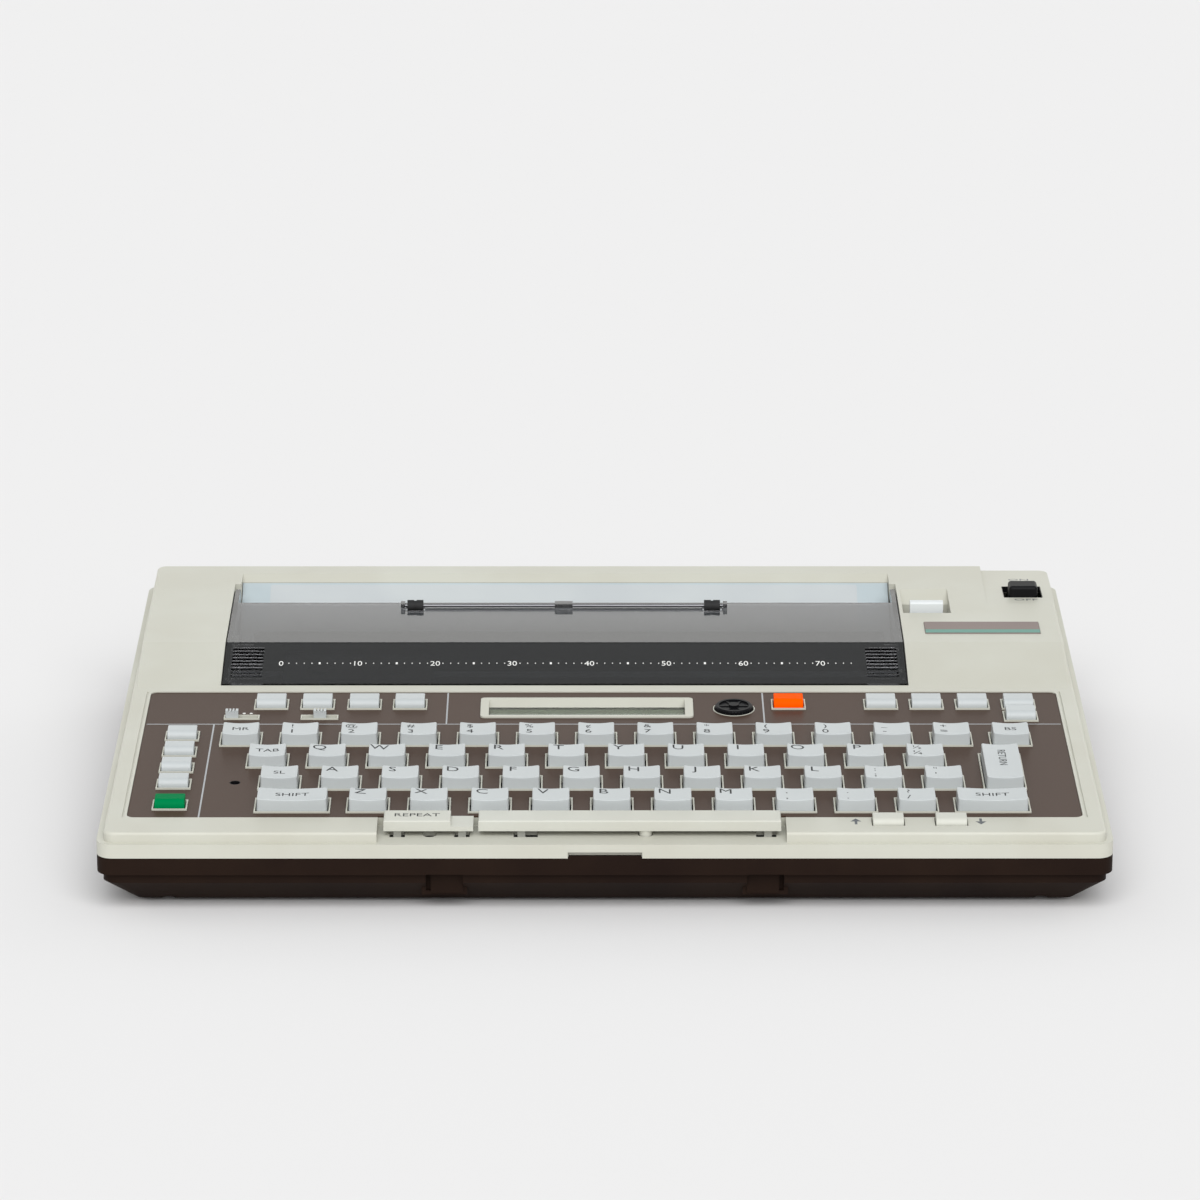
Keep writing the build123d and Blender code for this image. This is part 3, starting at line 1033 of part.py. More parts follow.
# Rubber sheet with one dome under each key and each stem of the bars
sheet_u = (KEY_BOARD_U[0] + 0.6, KEY_BOARD_U[1] - 2)
dome_spots = [spot for spot, _ in key_slots] + feed_spots
dome_spots += [(x, BAR_STEM_U) for x in REPEAT_STEMS + SPACE_STEMS]
clearing_x = (DISPLAY_X[0] - 2, DIAL_AT[0] + DIAL_RADIUS + 2)
clearing_u = (DISPLAY_U[0] - 2, DISPLAY_U[1] + 4)
with BuildPart() as dome_sheet:
    with BuildSketch(deck.offset(key_board_top)):
        with Locations((0, sum(sheet_u) / 2)):
            RectangleRounded(2 * SHEET_HALF, sheet_u[1] - sheet_u[0], 3)
        with Locations((sum(clearing_x) / 2, sum(clearing_u) / 2)):
            Rectangle(clearing_x[1] - clearing_x[0], clearing_u[1] - clearing_u[0], mode=Mode.SUBTRACT)
        for x_span in (SWITCH_LEFT, SWITCH_RIGHT):
            with Locations((sum(x_span) / 2, SWITCH_U)):
                Rectangle(x_span[1] - x_span[0] + 3, 2 * SWITCH_SLOT + 1, mode=Mode.SUBTRACT)
        with Locations(LAMP_AT):
            Circle(LAMP_HOLE + 0.5, mode=Mode.SUBTRACT)
        with Locations(*front_bosses):
            Circle(BOSS_RADIUS + 1, mode=Mode.SUBTRACT)
    extrude(amount=SHEET_THICK)
    with BuildSketch(deck.offset(sheet_top)):
        with Locations(*dome_spots):
            Circle(DOME_RADIUS)
    extrude(amount=STEM_END - DOME_GAP - sheet_top, taper=18)
save(dome_sheet, "dome_sheet")

# Main circuit board on the floor of the case, with its chips, capacitors and connectors
main_y = (to_world(MAIN_BOARD_U[0], 0)[0], to_world(MAIN_BOARD_U[1], 0)[0])
board_z = MAIN_BOARD_Z + BOARD_THICK
with BuildPart() as main_board:
    slab((-MAIN_BOARD_HALF, MAIN_BOARD_HALF), main_y, (MAIN_BOARD_Z, board_z), plane=Plane.XY)
    for x, y in CHIP_SPOTS:
        slab((x, x + CHIP_SIZE[0]), (y, y + CHIP_SIZE[1]), (board_z, board_z + CHIP_SIZE[2]), plane=Plane.XY)
    post(CAPACITOR_SPOTS, CAPACITOR_SIZE[0], (board_z, board_z + CAPACITOR_SIZE[1]), plane=Plane.XY)
    for x in CONNECTOR_XS:
        slab((x, x + CONNECTOR_SIZE[0]), (main_y[0] + 6, main_y[0] + 6 + CONNECTOR_SIZE[1]),
             (board_z, board_z + CONNECTOR_SIZE[2]), plane=Plane.XY)
save(main_board, "main_board")

# Printer frame: base, two side plates, the ears of the lever and the bracket of the feed motor
gear_radius = GEAR_MODULE * GEAR_TEETH / 2
pinion_radius = GEAR_MODULE * PINION_TEETH / 2
pinion_at = round_platen(gear_radius + pinion_radius, radians(PINION_TURN))
feed_motor_x = (GEAR_X + GEAR_FACE + GEAR_SPACE, GEAR_X + GEAR_FACE + GEAR_SPACE + MOTOR_LENGTH)
carriage_motor_x = (FRAME_LEFT - MOTOR_LENGTH, FRAME_LEFT)
frame_bores = [(ROD_AT, ROD_RADIUS + ROD_FIT), (SCREW_AT, ROD_RADIUS + PIN_FIT)]
frame_bores += [((PLATEN_U, PLATEN_W), SHAFT_RADIUS + PIN_FIT)]
lever_ears = (LEVER_POCKET_X[0] + 0.5, LEVER_POCKET_X[1] - 0.9)
with BuildPart() as printer_frame:
    slab((FRAME_LEFT, FRAME_RIGHT), FRAME_U, (FRAME_BASE_W, FRAME_BASE_W + FRAME_SHEET))
    for x_plate in (FRAME_LEFT, FRAME_RIGHT - FRAME_SHEET):
        side_prism(
            [(FRAME_U[0], FRAME_BASE_W), (FRAME_U[1], FRAME_BASE_W), (FRAME_U[1] - 4, FRAME_BASE_W + 6),
             (PLATEN_U + 6, FRAME_TOP_W), (PLATEN_U - 6, FRAME_TOP_W), (CARRIAGE_U[1], CARRIAGE_W[1]),
             (FRAME_U[0], CARRIAGE_W[1])],
            (x_plate, x_plate + FRAME_SHEET),
        )
    for x_ear in lever_ears:
        slab((x_ear, x_ear + FRAME_SHEET), (LEVER_AT[0] - 4, LEVER_AT[0] + 4),
             (FRAME_BASE_W, LEVER_AT[1] + LEVER_SHAFT + 0.6))
    # Rests under the paper guide
    for x_rest in GUIDE_RESTS:
        slab((x_rest, x_rest + 4), (PLATEN_U - 2, PLATEN_U + 2),
             (FRAME_BASE_W, PLATEN_W - outer_radius - DOME_GAP))
    bracket_w = (pinion_at[1] - BRACKET_DOWN, pinion_at[1] + BRACKET_HALF)
    slab((feed_motor_x[0] - FRAME_SHEET, feed_motor_x[0]),
         (pinion_at[0] - BRACKET_HALF, pinion_at[0] + BRACKET_HALF), bracket_w)
    for u in (pinion_at[0] - BRACKET_HALF + 2.5, pinion_at[0] + BRACKET_HALF - 2.5):
        rod((FRAME_RIGHT - SINK, feed_motor_x[0] - FRAME_SHEET + SINK), (u, bracket_w[0] + 2), LEVER_SHAFT)
    for x_plate in (FRAME_LEFT, FRAME_RIGHT - FRAME_SHEET):
        for at, radius in frame_bores:
            rod((x_plate - 0.5, x_plate + FRAME_SHEET + 0.5), at, radius, Mode.SUBTRACT)
    rod((lever_ears[0] - 1, lever_ears[1] + FRAME_SHEET + 1), LEVER_AT, LEVER_SHAFT + PIN_FIT, Mode.SUBTRACT)
    rod((feed_motor_x[0] - FRAME_SHEET - 0.5, feed_motor_x[0] + 1), pinion_at, ROD_RADIUS, Mode.SUBTRACT)
save(printer_frame, "printer_frame")

# Platen: a rubber sleeve on a steel shaft that ends in the feed gear
with BuildPart() as platen_roller:
    rod(PLATEN_X, (PLATEN_U, PLATEN_W), PLATEN_RADIUS)
    rod((PLATEN_X[0] - 1, PLATEN_X[1] + 1), (PLATEN_U, PLATEN_W), SHAFT_RADIUS, Mode.SUBTRACT)
save(platen_roller, "platen_roller")


def involute(base, radius):
    """Angle that an involute of a base circle has turned through at a radius."""
    pressure = acos(min(base / radius, 1))
    return tan(pressure) - pressure


def gear(at, teeth, x_span, bore, turn):
    """Spur gear with involute flanks, its axis along x and one tooth turned to an angle in degrees."""
    pitch = GEAR_MODULE * teeth / 2
    base = pitch * cos(radians(PRESSURE_ANGLE))
    tip = pitch + GEAR_MODULE
    root = pitch - 1.25 * GEAR_MODULE
    start = max(base, root)
    half_tooth = pi / (2 * teeth) - GEAR_BACKLASH / (2 * pitch)
    flank = [start + (tip - start) * step / FLANK_STEPS for step in range(FLANK_STEPS + 1)]
    halves = [half_tooth + involute(base, pitch) - involute(base, radius) for radius in flank]
    with BuildPart() as wheel:
        with BuildSketch(side.offset(x_span[0])) as outline:
            with Locations(at):
                Circle(root)
            for count in range(teeth):
                middle = radians(turn) + 2 * pi * count / teeth
                polar = [(root - GEAR_MODULE / 2, middle - halves[0])]
                polar += [(radius, middle - half) for radius, half in zip(flank, halves)]
                polar += [(radius, middle + half) for radius, half in zip(flank[::-1], halves[::-1])]
                polar += [(root - GEAR_MODULE / 2, middle + halves[0])]
                Polygon(*[(at[0] + radius * cos(angle), at[1] + radius * sin(angle))
                          for radius, angle in polar], align=None)
            with Locations(at):
                Circle(bore, mode=Mode.SUBTRACT)
        extrude(outline.sketch, amount=x_span[1] - x_span[0])
    return wheel


gear_span = (GEAR_X, GEAR_X + GEAR_FACE)
feed_gear = gear((PLATEN_U, PLATEN_W), GEAR_TEETH, gear_span, SHAFT_RADIUS - SINK, PINION_TURN)
with BuildPart() as platen_shaft:
    rod((FRAME_LEFT - 1.2, gear_span[1] + 0.4), (PLATEN_U, PLATEN_W), SHAFT_RADIUS)
    add(feed_gear.part)
save(platen_shaft, "platen_shaft")

drive_gear = gear(pinion_at, PINION_TEETH, gear_span, MOTOR_SHAFT - 0.2,
                  PINION_TURN + 180 + 180 / PINION_TEETH)
with BuildPart() as motor_pinion:
    rod((GEAR_X - 0.6, feed_motor_x[0] + 2), pinion_at, MOTOR_SHAFT)
    add(drive_gear.part)
save(motor_pinion, "motor_pinion")

with BuildPart() as stepper_motors:
    rod(feed_motor_x, pinion_at, MOTOR_RADIUS)
    rod((feed_motor_x[0] - 1, feed_motor_x[0] + 3), pinion_at, MOTOR_SHAFT + PIN_FIT, Mode.SUBTRACT)
    rod(carriage_motor_x, SCREW_AT, MOTOR_RADIUS)
    rod((FRAME_LEFT - 4, FRAME_LEFT + 1), SCREW_AT, ROD_RADIUS + PIN_FIT, Mode.SUBTRACT)
save(stepper_motors, "stepper_motors")

with BuildPart() as guide_rod:
    rod((FRAME_LEFT - 1, FRAME_RIGHT + 1), ROD_AT, ROD_RADIUS)
save(guide_rod, "guide_rod")

with BuildPart() as lead_screw:
    rod((FRAME_LEFT - 3, FRAME_RIGHT + 1), SCREW_AT, ROD_RADIUS)
save(lead_screw, "lead_screw")

# Carriage with its print head, and the ribbon cassette clipped on it
head_u = PLATEN_U - PLATEN_RADIUS - HEAD_GAP
with BuildPart() as carriage:
    slab(CARRIAGE_X, CARRIAGE_U, CARRIAGE_W)
    for at in (ROD_AT, SCREW_AT):
        rod((CARRIAGE_X[0] - 1, CARRIAGE_X[1] + 1), at, ROD_RADIUS + PIN_FIT, Mode.SUBTRACT)
    slab((HEAD_X[0], CARRIAGE_X[0] + 6), (CARRIAGE_U[1] - 3, head_u - HEAD_THICK / 2), HEAD_ARM_W)
    slab(HEAD_X, (head_u - HEAD_THICK, head_u), (HEAD_ARM_W[0], PLATEN_W + 3))
save(carriage, "carriage")

with BuildPart() as ribbon_cassette:
    slab(CASSETTE_X, CASSETTE_U, (CARRIAGE_W[1], CASSETTE_TOP))
    lid_edges = ribbon_cassette.edges().filter_by(
        lambda edge: deck.to_local_coords(edge.center()).Z > CARRIAGE_W[1] + 0.1)
    fillet(lid_edges, 1.0)
    spool_spots = [(x, CASSETTE_U[0] + 11) for x in (CASSETTE_X[0] + SPOOL_IN, CASSETTE_X[1] - SPOOL_IN)]
    post(spool_spots, SPOOL_RADIUS, (CASSETTE_TOP - 0.6, CASSETTE_TOP + 1), Mode.SUBTRACT)
    post(spool_spots, SPOOL_RADIUS - 1.6, (CASSETTE_TOP - 0.7, CASSETTE_TOP))
save(ribbon_cassette, "ribbon_cassette")

# Contacts at both ends of the battery bay, the right one with its spring
cell_y = bay_front_y + CELL_DIAMETER / 2 + 0.8
cell_z = FOOT_HEIGHT + DOOR_THICK + DOOR_GAP + CELL_DIAMETER / 2
with BuildPart() as battery_contacts:
    for x_span in ((-bay_half, CONTACT_THICK - bay_half), (bay_half - CONTACT_THICK, bay_half)):
        slab(x_span, (cell_y - CONTACT_HALF, cell_y + CONTACT_HALF),
             (cell_z - CONTACT_HALF, cell_z + CONTACT_HALF), plane=Plane.XY)
    with BuildSketch(Plane.YZ.offset(bay_half - CONTACT_THICK)) as spring_foot:
        with Locations((cell_y, cell_z)):
            Circle(SPRING_RADII[1])
            Circle(SPRING_RADII[0], mode=Mode.SUBTRACT)
    extrude(spring_foot.sketch, amount=-SPRING_LENGTH)
save(battery_contacts, "battery_contacts")

# Power inlet behind the back wall
jack_face_y = lower_back_y - WALL
with BuildPart() as power_jack:
    slab((JACK_X - JACK_BODY[0] / 2, JACK_X + JACK_BODY[0] / 2), (jack_face_y - JACK_BODY[1], jack_face_y),
         (JACK_Z - JACK_BODY[2] / 2, JACK_Z + JACK_BODY[2] / 2), plane=Plane.XY)
    with Locations((JACK_X, jack_face_y - JACK_DEPTH / 2, JACK_Z)):
        Cylinder(JACK_BORE, JACK_DEPTH, rotation=(90, 0, 0), mode=Mode.SUBTRACT)
        Cylinder(JACK_PIN, JACK_DEPTH, rotation=(90, 0, 0))
save(power_jack, "power_jack")
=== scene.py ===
# %% [markdown]
# # A portable electronic typewriter
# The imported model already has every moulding, key and gear in its place. This lesson gives each one
# the finish of the real thing, adds what is printed or glued on it, and lights it like a product shot.
# We start by loading that model. Blender works in metres, and a piece goes exactly where the model says.

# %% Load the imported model
import math

import bpy
from mathutils import Matrix, Vector


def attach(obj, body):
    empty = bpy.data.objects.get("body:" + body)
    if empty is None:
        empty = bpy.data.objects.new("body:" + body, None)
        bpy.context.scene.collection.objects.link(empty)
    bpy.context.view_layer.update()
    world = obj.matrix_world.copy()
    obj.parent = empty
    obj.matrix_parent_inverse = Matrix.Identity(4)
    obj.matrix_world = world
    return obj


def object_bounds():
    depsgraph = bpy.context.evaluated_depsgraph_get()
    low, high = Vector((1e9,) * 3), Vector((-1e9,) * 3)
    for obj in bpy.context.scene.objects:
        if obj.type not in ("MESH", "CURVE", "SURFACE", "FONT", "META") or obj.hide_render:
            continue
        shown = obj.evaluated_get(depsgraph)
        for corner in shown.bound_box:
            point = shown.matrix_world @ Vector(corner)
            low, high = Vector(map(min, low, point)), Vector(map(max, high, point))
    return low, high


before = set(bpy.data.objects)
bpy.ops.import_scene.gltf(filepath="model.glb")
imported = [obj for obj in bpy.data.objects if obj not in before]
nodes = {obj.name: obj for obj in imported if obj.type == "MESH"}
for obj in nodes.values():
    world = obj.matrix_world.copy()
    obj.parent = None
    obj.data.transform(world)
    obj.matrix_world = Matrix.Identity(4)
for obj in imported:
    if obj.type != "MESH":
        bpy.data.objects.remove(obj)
cad_low, cad_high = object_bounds()
print(len(nodes), "nodes, size in mm:", [round(1000 * side, 1) for side in cad_high - cad_low])

# %% [markdown]
# The machine is a wedge: its deck leans 4 degrees forward. Most pieces are easiest to place in the deck's own
# frame, with x to the right, u back along the deck and w square to it, all in millimetres. One matrix takes
# such a point to the world. Its origin is the front edge of the deck, found from the box of the model.

# %% The deck's frame
MM = 0.001
DECK_TILT = math.radians(4.0)
DECK_HEIGHT = 26.2
LEDGE_CORNER = (-1.5, -3.4)

front_reach = LEDGE_CORNER[0] * math.cos(DECK_TILT) - LEDGE_CORNER[1] * math.sin(DECK_TILT)
deck_origin = Vector((0.0, cad_low.y - front_reach * MM, DECK_HEIGHT * MM))
deck = Matrix.Translation(deck_origin) @ Matrix.Rotation(DECK_TILT, 4, "X") @ Matrix.Scale(MM, 4)


def on_deck(x, u, w=0.0):
    """World place of a point given in the deck's own millimetres."""
    return deck @ Vector((x, u, w))


print("deck origin in mm:", [round(value / MM, 2) for value in deck_origin])

# %% [markdown]
# Colours are written as sRGB hex, the way a designer notes them, and Blender's shaders want linear light.
# One function converts. A second one adds any shader node: it sets the node's options, fills its inputs and
# links the inputs that are given another node's output. A third one starts an empty material. With these, a
# finish is a few readable lines.

# %% Helpers for every material
def linear(hex_colour):
    """Linear RGBA of an sRGB hex colour."""
    channels = [int(hex_colour[place:place + 2], 16) / 255 for place in (1, 3, 5)]
    return tuple(c / 12.92 if c <= 0.04045 else ((c + 0.055) / 1.055) ** 2.4 for c in channels) + (1.0,)


def node(tree, kind, inputs=None, **options):
    """Add a shader node with its options, and fill or link its inputs."""
    made = tree.nodes.new(kind)
    for option, value in options.items():
        setattr(made, option, value)
    for name, value in (inputs or {}).items():
        if isinstance(value, bpy.types.NodeSocket):
            tree.links.new(value, made.inputs[name])
        else:
            made.inputs[name].default_value = value
    return made


def new_material(name):
    """Empty node material, its tree and its output node."""
    material = bpy.data.materials.new(name)
    material.use_nodes = True
    tree = material.node_tree
    tree.nodes.clear()
    return material, tree, node(tree, "ShaderNodeOutputMaterial")


print("mid grey in linear light:", round(linear("#808080")[0], 3))

# %% [markdown]
# Nearly all of the outside is injection-moulded ABS. The steel mould was spark-eroded, so the skin carries a
# fine sandy grain that breaks the reflection up into a soft sheen. The grain is about 0.15 mm wide. On top of
# it the plastic has a slow cloudiness of tone, a few centimetres across, where it aged unevenly. We draw the
# grain with a noise bump and the cloud with a second noise on the colour. A picture of a grain would do too,
# but a noise has no seams and needs no unwrapping. Every opaque plastic, every ink and the label's paper is
# this one recipe with its own colour, grain and gloss, because all of them are dull, finely grained skins.

# %% Moulded plastic
CLOUD_WIDTH = 30.0
PLASTIC_IOR = 1.54


def moulded(name, colour, shade, grain=0.15, depth=0.006, roughness=0.45, spread=0.10, shine=0.35):
    """Moulded plastic: a colour that drifts to a shade, with a grain and its depth in mm."""
    material, tree, output = new_material(name)
    place = node(tree, "ShaderNodeTexCoord").outputs["Object"]
    cloud = node(tree, "ShaderNodeTexNoise", {
        "Vector": place, "Scale": 1 / (CLOUD_WIDTH * MM), "Detail": 3.0})
    sand = node(tree, "ShaderNodeTexNoise", {"Vector": place, "Scale": 1 / (grain * MM), "Detail": 2.0})
    soft = node(tree, "ShaderNodeMapRange", {
        "Value": cloud.outputs["Fac"], "From Min": 0.35, "From Max": 0.65})
    tone = node(tree, "ShaderNodeMix", {
        "Factor": soft.outputs["Result"], "A": linear(colour), "B": linear(shade)}, data_type="RGBA")
    sheen = node(tree, "ShaderNodeMapRange", {
        "Value": sand.outputs["Fac"], "To Min": roughness - spread / 2, "To Max": roughness + spread / 2})
    relief = node(tree, "ShaderNodeBump", {
        "Height": sand.outputs["Fac"], "Distance": depth * MM, "Strength": 1.0})
    skin = node(tree, "ShaderNodeBsdfPrincipled", {
        "Base Color": tone.outputs["Result"], "Roughness": sheen.outputs["Result"], "IOR": PLASTIC_IOR,
        "Specular IOR Level": shine, "Normal": relief.outputs["Normal"]})
    tree.links.new(skin.outputs["BSDF"], output.inputs["Surface"])
    return material


cream_abs = moulded("cream_abs", "#C6C6BB", "#C2C1B5", shine=0.3)
bar_abs = moulded("bar_abs", "#C8C9C0", "#C4C4BA", grain=0.10, depth=0.002, roughness=0.4, shine=0.3)
key_abs = moulded("key_abs", "#BEC3C4", "#BABFC0", grain=0.10, depth=0.002, roughness=0.35, shine=0.3)
lever_abs = moulded("lever_abs", "#DADEDF", "#D5D9DA", grain=0.10, depth=0.002, roughness=0.35, shine=0.3)
orange_abs = moulded("orange_abs", "#FF5A00", "#FA5600", grain=0.10, depth=0.002, roughness=0.4, shine=0.01)
green_abs = moulded("green_abs", "#00804A", "#007844", grain=0.10, depth=0.002, roughness=0.4, shine=0.01)
brown_abs = moulded("brown_abs", "#261B15", "#201612", grain=0.25, depth=0.012, roughness=0.55, shine=0.04)
black_abs = moulded("black_abs", "#141416", "#101012", grain=0.10, depth=0.003, roughness=0.4, shine=0.08)
grey_abs = moulded("grey_abs", "#5E6266", "#565A5E", grain=0.12, depth=0.004, roughness=0.4)
guide_abs = moulded("guide_abs", "#B9C4C8", "#B2BDC1", grain=0.12, depth=0.003, roughness=0.35)
print("moulded plastics:", [m.name for m in bpy.data.materials if m.name.endswith("_abs")])

# %% [markdown]
# The keyboard plate is a sheet of aluminium, 0.6 mm thick, with brown satin paint and printed silver rules.
# Sprayed paint dries with a very even orange peel, about 0.35 mm wide, and its tone drifts slowly over the
# sheet. We give it a satin base with a faint clear coat, so that grazing light streaks softly along it.

# %% Painted plate
PEEL_WIDTH = 0.35
PEEL_DEPTH = 0.002
PAINT_DRIFT = 60.0


def painted_plate(name, colour, shade):
    """Satin paint on thin sheet metal."""
    material, tree, output = new_material(name)
    place = node(tree, "ShaderNodeTexCoord").outputs["Object"]
    peel = node(tree, "ShaderNodeTexNoise", {"Vector": place, "Scale": 1 / (PEEL_WIDTH * MM), "Detail": 2.0})
    cloud = node(tree, "ShaderNodeTexNoise", {
        "Vector": place, "Scale": 1 / (PAINT_DRIFT * MM), "Detail": 2.0})
    tone = node(tree, "ShaderNodeMix", {
        "Factor": cloud.outputs["Fac"], "A": linear(colour), "B": linear(shade)}, data_type="RGBA")
    relief = node(tree, "ShaderNodeBump", {"Height": peel.outputs["Fac"], "Distance": PEEL_DEPTH * MM})
    sheen = node(tree, "ShaderNodeMapRange", {"Value": peel.outputs["Fac"], "To Min": 0.34, "To Max": 0.46})
    paint = node(tree, "ShaderNodeBsdfPrincipled", {
        "Base Color": tone.outputs["Result"], "Roughness": sheen.outputs["Result"], "Coat Weight": 0.02,
        "Coat Roughness": 0.3, "Specular IOR Level": 0.08, "Normal": relief.outputs["Normal"]})
    tree.links.new(paint.outputs["BSDF"], output.inputs["Surface"])
    return material


plate_paint = painted_plate("plate_paint", "#4E3E35", "#483931")
badge_paint = painted_plate("badge_paint", "#8A7E7A", "#837773")
teal_paint = painted_plate("teal_paint", "#6F9C90", "#679488")
print("painted metals:", plate_paint.name, badge_paint.name, teal_paint.name)

# %% [markdown]
# The print cover is smoked acrylic, about 1.6 mm thick. Light loses more than half of its strength on the way
# through it, and at a low angle its top mirrors the room behind. That is a clear shader with a grey tint, the
# index of acrylic and hardly any roughness. Wiping leaves hairline scratches along it, which a noise
# stretched along x draws in the gloss. Mixing in a transparent shader would render faster, but the bent light
# that shows the thickness of a real sheet would be lost. The display's window and the lamp's lens share this.

# %% Smoked acrylic and clear plastics
ACRYLIC_IOR = 1.49
SCRATCH_LENGTH = 50 / 3
SCRATCH_WIDTH = 2 / 3


def clear_plastic(name, tint, roughness, scratch=0.08, through=1.0, shine=0.5):
    """Transparent plastic with a tint and fine scratches in its gloss."""
    material, tree, output = new_material(name)
    place = node(tree, "ShaderNodeTexCoord").outputs["Object"]
    along, across = 1 / (SCRATCH_LENGTH * MM), 1 / (SCRATCH_WIDTH * MM)
    stretched = node(tree, "ShaderNodeMapping", {"Vector": place, "Scale": (along, across, across)})
    hair = node(tree, "ShaderNodeTexNoise", {
        "Vector": stretched.outputs["Vector"], "Scale": 1.0, "Detail": 2.0})
    gloss = node(tree, "ShaderNodeMapRange", {
        "Value": hair.outputs["Fac"], "From Min": 0.55, "From Max": 0.8,
        "To Min": roughness, "To Max": roughness + scratch})
    body = node(tree, "ShaderNodeBsdfPrincipled", {
        "Base Color": linear(tint), "Roughness": gloss.outputs["Result"], "IOR": ACRYLIC_IOR,
        "Specular IOR Level": shine, "Transmission Weight": through})
    tree.links.new(body.outputs["BSDF"], output.inputs["Surface"])
    return material


smoked_acrylic = clear_plastic("smoked_acrylic", "#6A6A6C", 0.03, shine=0.65)
display_pane = clear_plastic("display_pane", "#CBD2C4", 0.08)
lamp_lens = clear_plastic("lamp_lens", "#5A1216", 0.3, through=0.1, shine=0.4)
print("clear plastics:", smoked_acrylic.name, display_pane.name, lamp_lens.name)

# %% [markdown]
# Inside are plated steel, turned bars, black rubber and circuit boards. Turned and rolled steel keeps fine
# lines, so its roughness is drawn with a noise stretched along x. An anisotropic shader could draw the streak
# of light as well, but not the lines themselves. Rubber is dull, with dust in its pores. A circuit board is
# green lacquer over woven glass cloth. Its threads lie half a millimetre apart, and are drawn a millimetre
# apart so that they show: two wave patterns cross, one for each way of the cloth.

# %% Steel
LINE_DEPTH = 0.003
SHEEN_SHARE = 0.3


def drawn_steel(name, colour, roughness, across=0.2, along=15.0):
    """Bright steel with fine lines along x, spaced across in mm."""
    material, tree, output = new_material(name)
    place = node(tree, "ShaderNodeTexCoord").outputs["Object"]
    stretch = (1 / (along * MM), 1 / (across * MM), 1 / (across * MM))
    lines = node(tree, "ShaderNodeMapping", {"Vector": place, "Scale": stretch})
    grind = node(tree, "ShaderNodeTexNoise", {
        "Vector": lines.outputs["Vector"], "Scale": 1.0, "Detail": 3.0})
    sheen = node(tree, "ShaderNodeMapRange", {
        "Value": grind.outputs["Fac"],
        "To Min": roughness * (1 - SHEEN_SHARE), "To Max": roughness * (1 + SHEEN_SHARE)})
    relief = node(tree, "ShaderNodeBump", {"Height": grind.outputs["Fac"], "Distance": LINE_DEPTH * MM})
    metal = node(tree, "ShaderNodeBsdfPrincipled", {
        "Base Color": linear(colour), "Metallic": 1.0, "Roughness": sheen.outputs["Result"],
        "Normal": relief.outputs["Normal"]})
    tree.links.new(metal.outputs["BSDF"], output.inputs["Surface"])
    return material


bright_steel = drawn_steel("bright_steel", "#C9C8C4", 0.25)
dark_steel = drawn_steel("dark_steel", "#77777A", 0.3)
plated_sheet = drawn_steel("plated_sheet", "#B9B8B0", 0.4, across=0.5, along=40.0)
print("steels:", bright_steel.name, dark_steel.name, plated_sheet.name)

# %% Rubber
PORE_WIDTH = 0.3
PORE_DEPTH = 0.01


def dusty_rubber(name, colour, dust):
    """Dull rubber with a little dust in its pores."""
    material, tree, output = new_material(name)
    place = node(tree, "ShaderNodeTexCoord").outputs["Object"]
    pores = node(tree, "ShaderNodeTexNoise", {"Vector": place, "Scale": 1 / (PORE_WIDTH * MM), "Detail": 4.0})
    spots = node(tree, "ShaderNodeMapRange", {
        "Value": pores.outputs["Fac"], "From Min": 0.55, "From Max": 0.75})
    tone = node(tree, "ShaderNodeMix", {
        "Factor": spots.outputs["Result"], "A": linear(colour), "B": linear(dust)}, data_type="RGBA")
    relief = node(tree, "ShaderNodeBump", {"Height": pores.outputs["Fac"], "Distance": PORE_DEPTH * MM})
    skin = node(tree, "ShaderNodeBsdfPrincipled", {
        "Base Color": tone.outputs["Result"], "Roughness": 0.75, "Normal": relief.outputs["Normal"]})
    tree.links.new(skin.outputs["BSDF"], output.inputs["Surface"])
    return material


black_rubber = dusty_rubber("black_rubber", "#1A1A1B", "#2B2A29")
grey_rubber = dusty_rubber("grey_rubber", "#4A4B4C", "#5A5A5A")
print("rubbers:", black_rubber.name, grey_rubber.name)

# %% Circuit board
# At a scale of 1 the wave repeats every 0.314 of a unit, so a gap of 1 mm takes 1 over 3.2 mm as its scale.
THREAD_SCALE = 3.2


def circuit_board(name, lacquer, cloth):
    """Lacquered glass-cloth board with its woven threads showing faintly."""
    material, tree, output = new_material(name)
    place = node(tree, "ShaderNodeTexCoord").outputs["Object"]
    scale = 1 / (THREAD_SCALE * MM)
    warp = node(tree, "ShaderNodeTexWave", {"Vector": place, "Scale": scale}, bands_direction="X")
    weft = node(tree, "ShaderNodeTexWave", {"Vector": place, "Scale": scale}, bands_direction="Y")
    weave = node(tree, "ShaderNodeMath", {
        0: warp.outputs["Fac"], 1: weft.outputs["Fac"]}, operation="MULTIPLY")
    tone = node(tree, "ShaderNodeMix", {
        "Factor": weave.outputs["Value"], "A": linear(lacquer), "B": linear(cloth)}, data_type="RGBA")
    board = node(tree, "ShaderNodeBsdfPrincipled", {"Base Color": tone.outputs["Result"], "Roughness": 0.3})
    tree.links.new(board.outputs["BSDF"], output.inputs["Surface"])
    return material


green_board = circuit_board("green_board", "#2C4A22", "#3B5C30")
print("board:", green_board.name)

# %% [markdown]
# Now each node gets its finish. It could be set node by node, but there are sixty of them and a third are
# white keys. So a short table names the others, finish by finish, and what isn't in it is a white key or the
# knob of a slide switch. The print counts both kinds, so that no node is forgotten.

